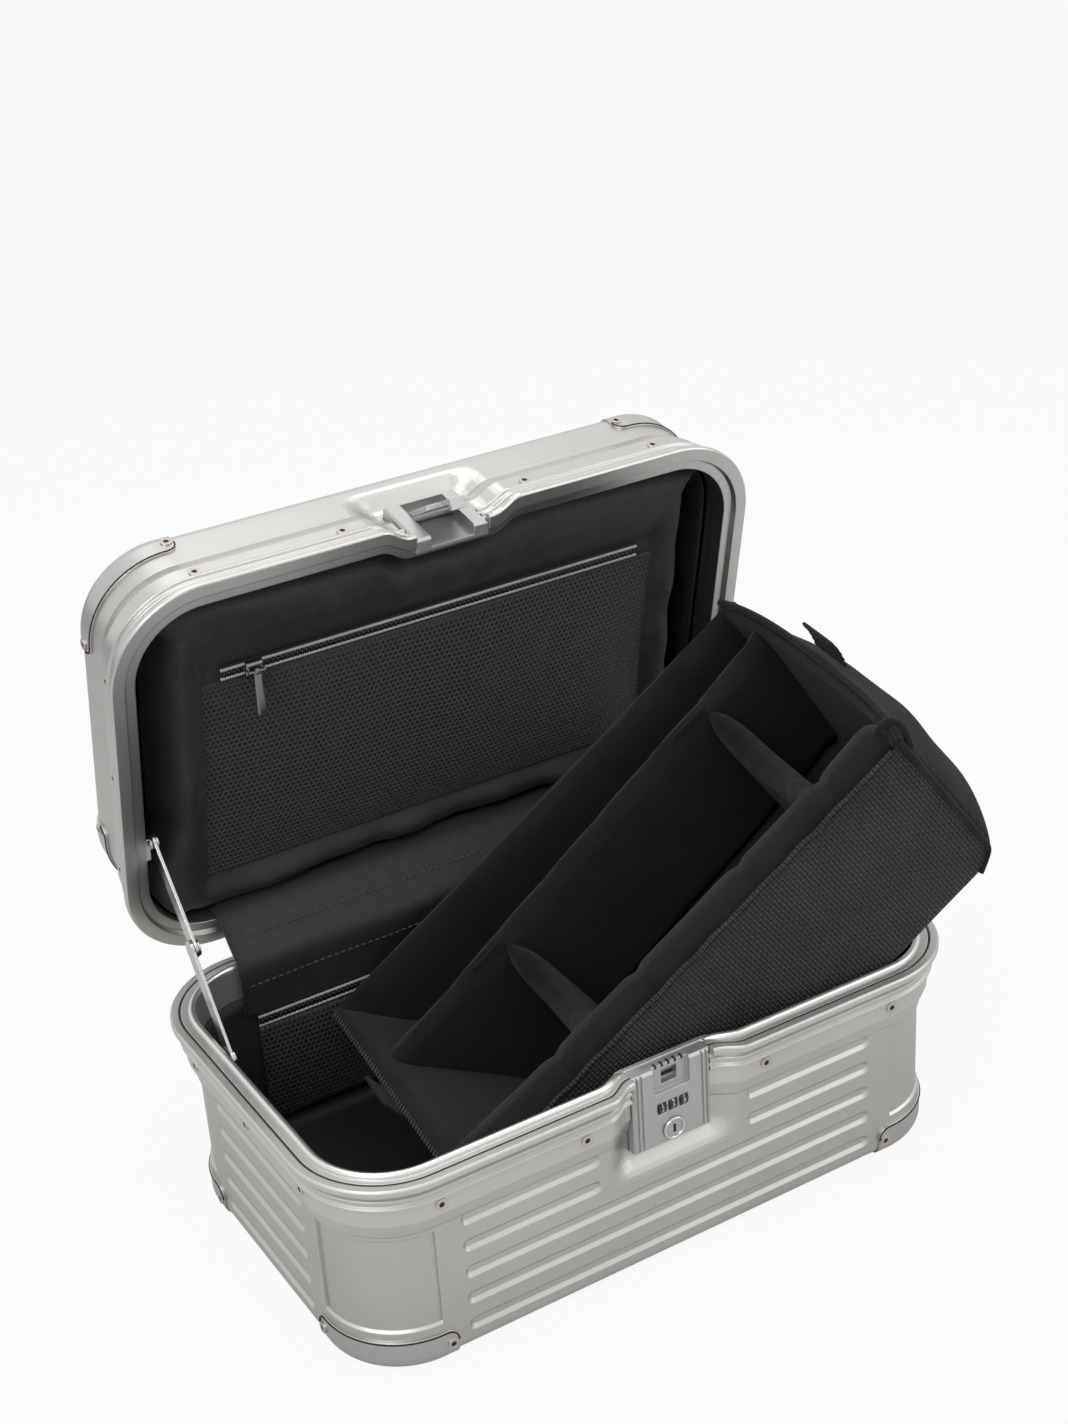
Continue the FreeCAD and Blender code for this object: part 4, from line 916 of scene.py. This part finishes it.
def makeInsertWalls():
    skin, pad, edge, lap = insert["skin"], insert["pad"], insert["round"], plainWalls["lap"]
    outline = sideOutline(wall, height + padFull["rise"], wall - padFull["tuck"], length + padFull["past"],
                          padFull["near"])
    front = softSlab(outline, (0, pad + padFull["swell"], 0), padFull["round"])
    piece = inflated("insertFrontPad", front, pressure=5.0)
    for vert in piece.data.vertices:
        for pleat in padFull["pleats"]:
            near = abs(vert.co.x - pleat + padFull["sway"] * sin(vert.co.z * padFull["turns"]))
            side = 1 if vert.co.y < skin + pad / 2 else -1
            vert.co.y += padFull["pleat"] * exp(-(near / padFull["wide"]) ** 2) * side
            top = climb(vert.co.z, height - padFull["topRun"], padFull["topRun"])
            vert.co.z -= padFull["pleat"] * exp(-(near / padFull["topWide"]) ** 2) * top
    finishInsert(piece, "insert_front_pad", fill=0.6)
    outline = sideOutline(0, height - lap, -plainWalls["out"], length + plainWalls["past"],
                          depth - wall - lap)
    back = softSlab(outline, (0, wall + lap, 0), edge)
    finishInsert(inflated("insertBackWall", back, pressure=3.0), "insert_back", fill=0.4)
    corners = (0, 0), (wall, 0), (wall - lean, height), (-lean, height)
    slant = [Vector((x, skin + lap, z)) for x, z in corners]
    left = softSlab(slant, (0, depth - skin - plainWalls["clear"], 0), edge)
    finishInsert(inflated("insertLeftEnd", left, pressure=3.0), "insert_left_end", fill=0.4)
    low, high, lift = skin + plainWalls["clear"], depth - wall - plainWalls["clear"], plainWalls["lift"]
    bow = spaced(low, high, plainWalls["bowSteps"])
    plan = [Vector((wall + lap, high, lift)), Vector((wall + lap, low, lift))]
    plan += [Vector((length - wall - plainWalls["floorIn"] + endReach(y, 0), y, lift)) for y in bow]
    ground = softSlab(plan, (0, 0, wall - lift), plainWalls["floorRound"])
    finishInsert(inflated("insertFloorPad", ground, pressure=2.0), "insert_floor", fill=0.4)


# Outer front panel of coarse nylon, bowed a little, with a bound top edge
frontPanel = dict(drop=0.003, bow=0.0012, thickness=0.0026, binding=0.0013, columns=56, rows=22,
                  right=0.002, place=0.0012, swellPower=0.8, wave=(0.0006, 26), topIn=(0.9, 0.1),
                  topWave=(0.0009, 34), bindingPlace=0.0016, bindingWave=((0.0005, 1.7), (0.0004, 2.3)),
                  bindingSteps=40)


def makeFrontPanel():
    bm = unitGrid(frontPanel["columns"], frontPanel["rows"])
    (wave, scale), (topWave, topScale) = frontPanel["wave"], frontPanel["topWave"]
    for vert in bm.verts:
        u, v = vert.co.x + 0.5, vert.co.y + 0.5
        z = (height - frontPanel["drop"]) * v
        left, right = -lean * v, length - frontPanel["right"] - cornerCut(z)
        x = left + (right - left) * u
        swell = sin(pi * u) * sin(pi * min(1, v)) ** frontPanel["swellPower"]
        y = frontPanel["place"] * (1 + climb(v, *frontPanel["topIn"])) + wave * ripple((x, 0, z), scale)
        vert.co = (x, y - frontPanel["bow"] * swell, z + topWave * ripple((x, 0, 0), topScale) * v)
    bmesh.ops.recalc_face_normals(bm, faces=bm.faces)
    piece = clothPiece("insertFrontPanel", bm, nylonCloth, frontPanel["thickness"], offset=0.0)
    finishInsert(piece, "insert_front", fill=0.3)
    (inOut, inTurns), (upDown, upTurns) = frontPanel["bindingWave"]
    steps = frontPanel["bindingSteps"]
    points = [(-lean + (length + lean) * i / steps,
               frontPanel["bindingPlace"] + inOut * sin(i * inTurns),
               height - frontPanel["drop"] + upDown * sin(i * upTurns)) for i in range(steps)]
    insertTube("insertPanelBinding", points, frontPanel["binding"], nylonCloth)


def makeRightEnd():
    bm = unitGrid(rightEnd["columns"], rightEnd["rows"])
    start = rightEnd["slumpFrom"] * height
    for vert in bm.verts:
        y, z = depth * (vert.co.x + 0.5), height * (vert.co.y + 0.5)
        slump = rightEnd["slump"] * climb(z, start, height - start) * sin(pi * y / depth)
        wave = rightEnd["wave"] * ripple((0, y, z), rightEnd["scale"])
        vert.co = (length + endReach(y, z) - cornerCut(z) + wave, y, z - slump)
    grown = bmesh.ops.extrude_face_region(bm, geom=bm.faces[:])["geom"]
    for vert in vertsOf(grown):
        y, z = vert.co.y, vert.co.z
        bow = rightEnd["innerBow"] * endReach(y, height) * ease(z / height)
        vert.co.x = length - wall - cornerCut(z) + bow
        vert.co.y += rightEnd["innerTuck"] * (1 - 2 * y / depth)
    bmesh.ops.recalc_face_normals(bm, faces=bm.faces)
    piece = newPiece("insertRightEnd", bm, ribCloth)
    finishInsert(piece, "insert_right_end", fill=0.4)
    piece.data.materials.append(napCloth)
    back = insertTurn.inverted().to_3x3()
    for face in piece.data.polygons:
        face.material_index = 1 if (back @ face.normal).x < 0 else 0
    points = [(length - rightEnd["pipingIn"] - cornerCut(z),
               rightEnd["pipingWave"] * sin(i) - rightEnd["pipingOut"], z)
              for i, z in enumerate(spaced(0, height, rightEnd["pipingSteps"]))]
    insertTube("insertEndPiping", points, rightEnd["piping"], napCloth)
    points = [(length - rightEnd["bindingIn"] + endReach(y, height), y,
               height - rightEnd["slump"] * sin(pi * y / depth))
              for y in spaced(0, depth, rightEnd["bindingSteps"])]
    insertTube("insertEndBinding", points, rightEnd["binding"], napCloth)
    points = [(length + x, y, height + z) for x, y, z in rightEnd["curl"]]
    insertTube("insertBindingCurl", points, rightEnd["binding"], napCloth)


# Long divider and the two cross dividers with scooped tops and side tabs
dividers = dict(thickness=0.009, round=0.0036, shares=(0.64, 0.79), drop=0.004, foot=0.008, top=0.006,
                cross=(0.168, 0.792), crossDrop=0.008, dip=0.015, dipSteps=8, lap=0.001, clear=0.0006,
                tab=(0.022, 0.0016, 0.05), tabShift=0.0066, tabRise=0.002, tabEdge=0.0006,
                tabSink=(0.0002, 0.0004))


def dividerPlace(x):
    near, far = [depth * share for share in dividers["shares"]]
    return near + (far - near) * (x + lean) / (length + insert["bow"] + lean)


def makeDividers():
    slope, top = lean / height, height - dividers["drop"]
    points = [Vector((-slope * wall, 0, wall)), Vector((length + dividers["foot"], 0, wall)),
              Vector((length + dividers["top"], 0, top)), Vector((-slope * top, 0, top))]
    for point in points:
        point.y = dividerPlace(point.x)
    slab = softSlab(points, (0, dividers["thickness"], 0), dividers["round"])
    finishInsert(inflated("insertLongDivider", slab, pressure=5.0), "insert_long_divider", fill=0.6)
    pad = insert["skin"] + insert["pad"] + dividers["lap"]
    crossTop = height - dividers["crossDrop"]
    for place, side in zip(dividers["cross"], ("Left", "Right")):
        x = length * place
        end = dividerPlace(x) - dividers["clear"]
        arc = [Vector((x, end + (pad - end) * t, crossTop - dividers["dip"] * sin(pi * t)))
               for t in spaced(0, 1, dividers["dipSteps"])]
        outline = [Vector((x, pad, wall)), Vector((x, end, wall))] + arc
        slab = softSlab(outline, (dividers["thickness"], 0, 0), dividers["round"])
        piece = inflated("insertCrossDivider" + side, slab, pressure=5.0)
        finishInsert(piece, "insert_cross_divider_" + side.lower(), fill=0.6)
        tabTop = crossTop - dividers["tab"][2] / 2 + dividers["tabRise"]
        sinks = zip((end, pad), dividers["tabSink"])
        places = [(x - dividers["tabShift"], y - sink, tabTop) for y, sink in sinks]
        tabs = barsPiece("insertCrossTabs" + side, napCloth, dividers["tab"], places,
                         edge=dividers["tabEdge"])
        finishInsert(tabs)


# Overlocked edge along the top of the left end
overlock = dict(slant=0.45, count=58, inset=0.003, start=0.006, short=0.014, rise=0.0004,
                stitch=(0.0046, 0.0007, 0.0006))


def makeOverlock():
    start, run = overlock["start"], depth - overlock["short"]
    places = [(overlock["inset"] - lean, y, height + overlock["rise"])
              for y in spaced(start, start + run, overlock["count"] - 1)]
    spin = Matrix.Rotation(overlock["slant"], 4, "Z")
    finishInsert(barsPiece("insertOverlock", seamThread, overlock["stitch"], places, spin=spin))


# Pull tabs: folded strips that stand up at both ends
pullTabs = dict(bar=(0.0022, 0.026, 0.0042), count=5, turn=0.5, inset=0.001, end=0.002, out=0.0016,
                sunk=0.006, step=0.0036, edge=0.0008)


def makeTabs():
    places = []
    for x, out in ((-lean, -1), (length + insert["bow"] - pullTabs["end"], 1)):
        for i in range(pullTabs["count"]):
            lap = out * pullTabs["out"] * sin(pullTabs["turn"] * i)
            rise = pullTabs["step"] * i - pullTabs["sunk"]
            places.append((x + pullTabs["inset"] + lap, depth / 2, height + rise))
    tabs = barsPiece("insertPullTabs", napCloth, pullTabs["bar"], places, edge=pullTabs["edge"])
    finishInsert(tabs, "insert_pull_tabs")


makeInsertWalls()
makeFrontPanel()
makeRightEnd()
makeDividers()
makeOverlock()
makeTabs()
print("insert made")

# Painted shade: flat dark discs at the middle of each tubular rivet head, for the shade in their hollows
rivets = dict(hollow=0.00145, sink=0.0003, sides=16, baseMiddle=0.6, lidMiddle=0.02)


def islands(node):
    bm = bmesh.new()
    bm.from_mesh(nodes[node].data)
    bmesh.ops.remove_doubles(bm, verts=bm.verts, dist=tiny)
    left = dict.fromkeys(bm.verts)
    while left:
        group, reached = [], [left.popitem()[0]]
        while reached:
            vert = reached.pop()
            group.append(vert.co.copy())
            for edge in vert.link_edges:
                other = edge.other_vert(vert)
                if other in left:
                    del left[other]
                    reached.append(other)
        yield np.array(group)
    bm.free()


def makeHollows(node, body, middle):
    bm = bmesh.new()
    for points in islands(node):
        centre = points.mean(0)
        axis = Vector(np.linalg.eigh(np.cov((points - centre).T))[1][:, 0])
        if axis.dot(Vector(centre) - middle) < 0:
            axis.negate()
        rise = max((points - centre) @ np.array(axis)) - rivets["sink"]
        facing = axis.to_track_quat("Z", "Y").to_matrix().to_4x4()
        bmesh.ops.create_circle(bm, cap_ends=True, radius=rivets["hollow"], segments=rivets["sides"],
                                matrix=Matrix.Translation(Vector(centre) + axis * rise) @ facing)
    parts = node.split("_")
    mount(newPiece(parts[0] + parts[1].capitalize() + "RivetHollows", bm, shadeAndSeamDark), "rivet_steel", body)


middles = {"base": Vector((0, 0, parting * rivets["baseMiddle"])),
           "lid": lidTurn @ Vector((0, 0, parting + rivets["lidMiddle"]))}
for body, middle in middles.items():
    for kind in ("_frame_rivets", "_cap_rivets"):
        makeHollows(body + kind, body, middle)

# Rolled bead along the inner edge of the base's rim, lower behind the lock
bead = dict(inset=0.0109, radius=0.0021, arc=12, side=16, frontTimes=3, lockGap=0.001, dip=0.0024,
            fade=0.007)


def rimOutline(inset):
    halfX, halfY, radius = frameHigh.x - inset, frameHigh.y - inset, rim["radius"] - inset
    cx, cy = halfX - radius, halfY - radius
    corners = [(cx, cy), (-cx, cy), (-cx, -cy), (cx, -cy)]
    made = []
    for turn, (x, y) in enumerate(corners):
        angle = pi / 2 * (turn + 1)
        angles = spaced(angle - pi / 2, angle, bead["arc"])
        made += [Vector((x + radius * cos(a), y + radius * sin(a), 0)) for a in angles]
        far = corners[(turn + 1) % 4]
        end = Vector((far[0] + radius * cos(angle), far[1] + radius * sin(angle), 0))
        count = bead["side"] * (bead["frontTimes"] if turn == 2 else 1)
        made += [made[-1].lerp(end, i / count) for i in range(1, count)]
    return made


def makeBead():
    points = [point + Vector((0, 0, parting)) for point in rimOutline(bead["inset"])]
    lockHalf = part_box("lock_body")[1].x + bead["lockGap"]
    for point in points:
        if point.y < 0:
            point.y += jogShift(point.x)
            point.z -= bead["dip"] * ease((lockHalf + bead["fade"] - abs(point.x)) / bead["fade"])
    mount(tubePiece("rimBead", points, bead["radius"], beadMetal, closed=True), "frame_aluminium", "base")


# Lock face: key collar, and painted shade in the keyway, in the socket behind the catch and in the notches
# along the top edge
lockFace = dict(collar=(0.0054, 0.0009), collarSteps=24, keyway=(0.0014, 0.0003, 0.0044),
                notch=(0.0013, 0.0026, 0.0016), sink=0.0007, recess=0.0033, notches=5, pitch=0.0037,
                socket=(0.0086, 0.0004, 0.0078), edge=0.0001)


def makeLockFace():
    middle = boxCentre("key_cylinder")
    middle.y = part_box("key_cylinder")[0].y
    ring, thick = lockFace["collar"]
    angles = spaced(0, 2 * pi, lockFace["collarSteps"])[:-1]
    circle = [middle + Vector((ring * cos(a), 0, ring * sin(a))) for a in angles]
    mount(tubePiece("keyCollar", circle, thick, brightMetal, closed=True), "lock_zinc", "base")
    mount(barsPiece("keywayShade", shadeAndSeamDark, lockFace["keyway"], [middle]), "lock_zinc", "key_cylinder")
    low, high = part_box("lock_body")
    y, z = low.y + lockFace["recess"] + lockFace["notch"][1] / 2, high.z - lockFace["sink"]
    count = lockFace["notches"]
    places = [((i - count / 2 + 0.5) * lockFace["pitch"], y, z) for i in range(count)]
    notches = barsPiece("lockNotches", shadeAndSeamDark, lockFace["notch"], places, edge=lockFace["edge"])
    mount(notches, "lock_zinc", "base")
    middle = boxCentre("lock_catch")
    middle.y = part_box("lock_catch")[1].y - lockFace["socket"][1]
    socket = barsPiece("lockSocketShade", shadeAndSeamDark, lockFace["socket"], [middle], edge=lockFace["edge"])
    mount(socket, "lock_zinc", "base")


makeBead()
makeLockFace()

# Dark seam round each corner cap
seam = dict(inset=0.0078, reach=0.007, top=0.0172, round=0.006, roundSteps=5, radius=0.0004, steps=14)


def makeCapSeams(stem, turn, body):
    inset, bend = seam["inset"], seam["round"]
    halfX, halfY, radius = frameHigh.x - inset, frameHigh.y - inset, rim["radius"] - inset
    arc = radius * pi / 2
    low, high = -seam["reach"], arc + seam["reach"]
    rise = [(low + bend * (1 - cos(a)), seam["top"] - bend * (1 - sin(a)))
            for a in spaced(0, pi / 2, seam["roundSteps"])]
    line = rise + [(s, seam["top"]) for s in spaced(low + bend, high - bend, seam["steps"])[1:-1]]
    line += [(low + high - s, z) for s, z in reversed(rise)]
    for corner, (sideX, sideY) in enumerate(((1, 1), (-1, 1), (-1, -1), (1, -1))):
        points = []
        for s, z in line:
            angle = max(0.0, min(arc, s)) / radius
            spare = s - max(0.0, min(arc, s))
            x, y = radius * cos(angle), radius * sin(angle)
            x, y = x - sin(angle) * spare, y + cos(angle) * spare
            points.append((sideX * (halfX - radius + x), sideY * (halfY - radius + y), z))
        piece = tubePiece("%sCapSeam%d" % (stem, corner + 1), points, seam["radius"], shadeAndSeamDark, turn)
        mount(piece, "rivet_steel", body)


makeCapSeams("base", upright, "base")
makeCapSeams("lid", lidTurn @ Matrix.Translation((0, 0, parting + lidSize["tall"])) @ mirror, "lid")

# Zip puller: flat strip with a rounded end and a block at its bail
puller = dict(neck=0.0019, half=0.0024, thickness=0.0013, edge=0.0003, top=0.002, waist=(1.1, 0.3),
              shoulder=1.4, end=1.2, endSteps=10, bail=(0.0026, 0.0028, 0.003), bailDrop=0.0016,
              bailEdge=0.0007)


def makePuller():
    low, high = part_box("zip_puller")
    middle = boxCentre("zip_puller")
    half, neck, end = puller["half"], puller["neck"], puller["half"] * puller["end"]
    waist, waistDrop = puller["waist"]
    right = [(neck, high.z - puller["top"]), (neck * waist, high.z - (high.z - low.z) * waistDrop),
             (half, low.z + half * puller["shoulder"])]
    outline = right + [(half * cos(a), low.z + end - end * sin(a))
                       for a in spaced(0, pi, puller["endSteps"])]
    outline += [(-x, z) for x, z in reversed(right)]
    bm = softSlab([Vector((middle.x + x, middle.y - puller["thickness"] / 2, z)) for x, z in outline],
                  (0, puller["thickness"], 0), puller["edge"])
    addBar(bm, puller["bail"], (middle.x, middle.y, high.z - puller["bailDrop"]), edge=puller["bailEdge"])
    mount(newPiece("zipPullerDrop", bm, darkMetal), "gunmetal", "zip_puller", "zip_puller")


makePuller()

# White numerals round each dial
numerals = dict(count=10, size=0.0034, lift=0.00006, shift=3)


def makeNumerals(number):
    node = "number_dial_%d" % number
    low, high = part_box(node)
    radius = (high.z - low.z) / 2
    bm = bmesh.new()
    for digit in range(numerals["count"]):
        words = bpy.data.curves.new("numeral", "FONT")
        words.body, words.size = str(digit), numerals["size"]
        words.align_x = words.align_y = "CENTER"
        writer = addObject("numeral", words)
        mesh = finalMesh(writer)
        bpy.data.objects.remove(writer)
        share = (digit + 1 - number * numerals["shift"]) / numerals["count"]
        spin = Matrix.Rotation(2 * pi * share, 4, "X")
        stand = Matrix.Translation((0, -radius - numerals["lift"], 0)) @ Matrix.Rotation(pi / 2, 4, "X")
        mesh.transform(Matrix.Translation(boxCentre(node)) @ spin @ stand)
        bm.from_mesh(mesh)
        bpy.data.meshes.remove(mesh)
    mount(newPiece("dialNumerals%d" % number, bm, whitePaint), "dial_plastic", node)


for number in (1, 2, 3):
    makeNumerals(number)
print("hardware made")
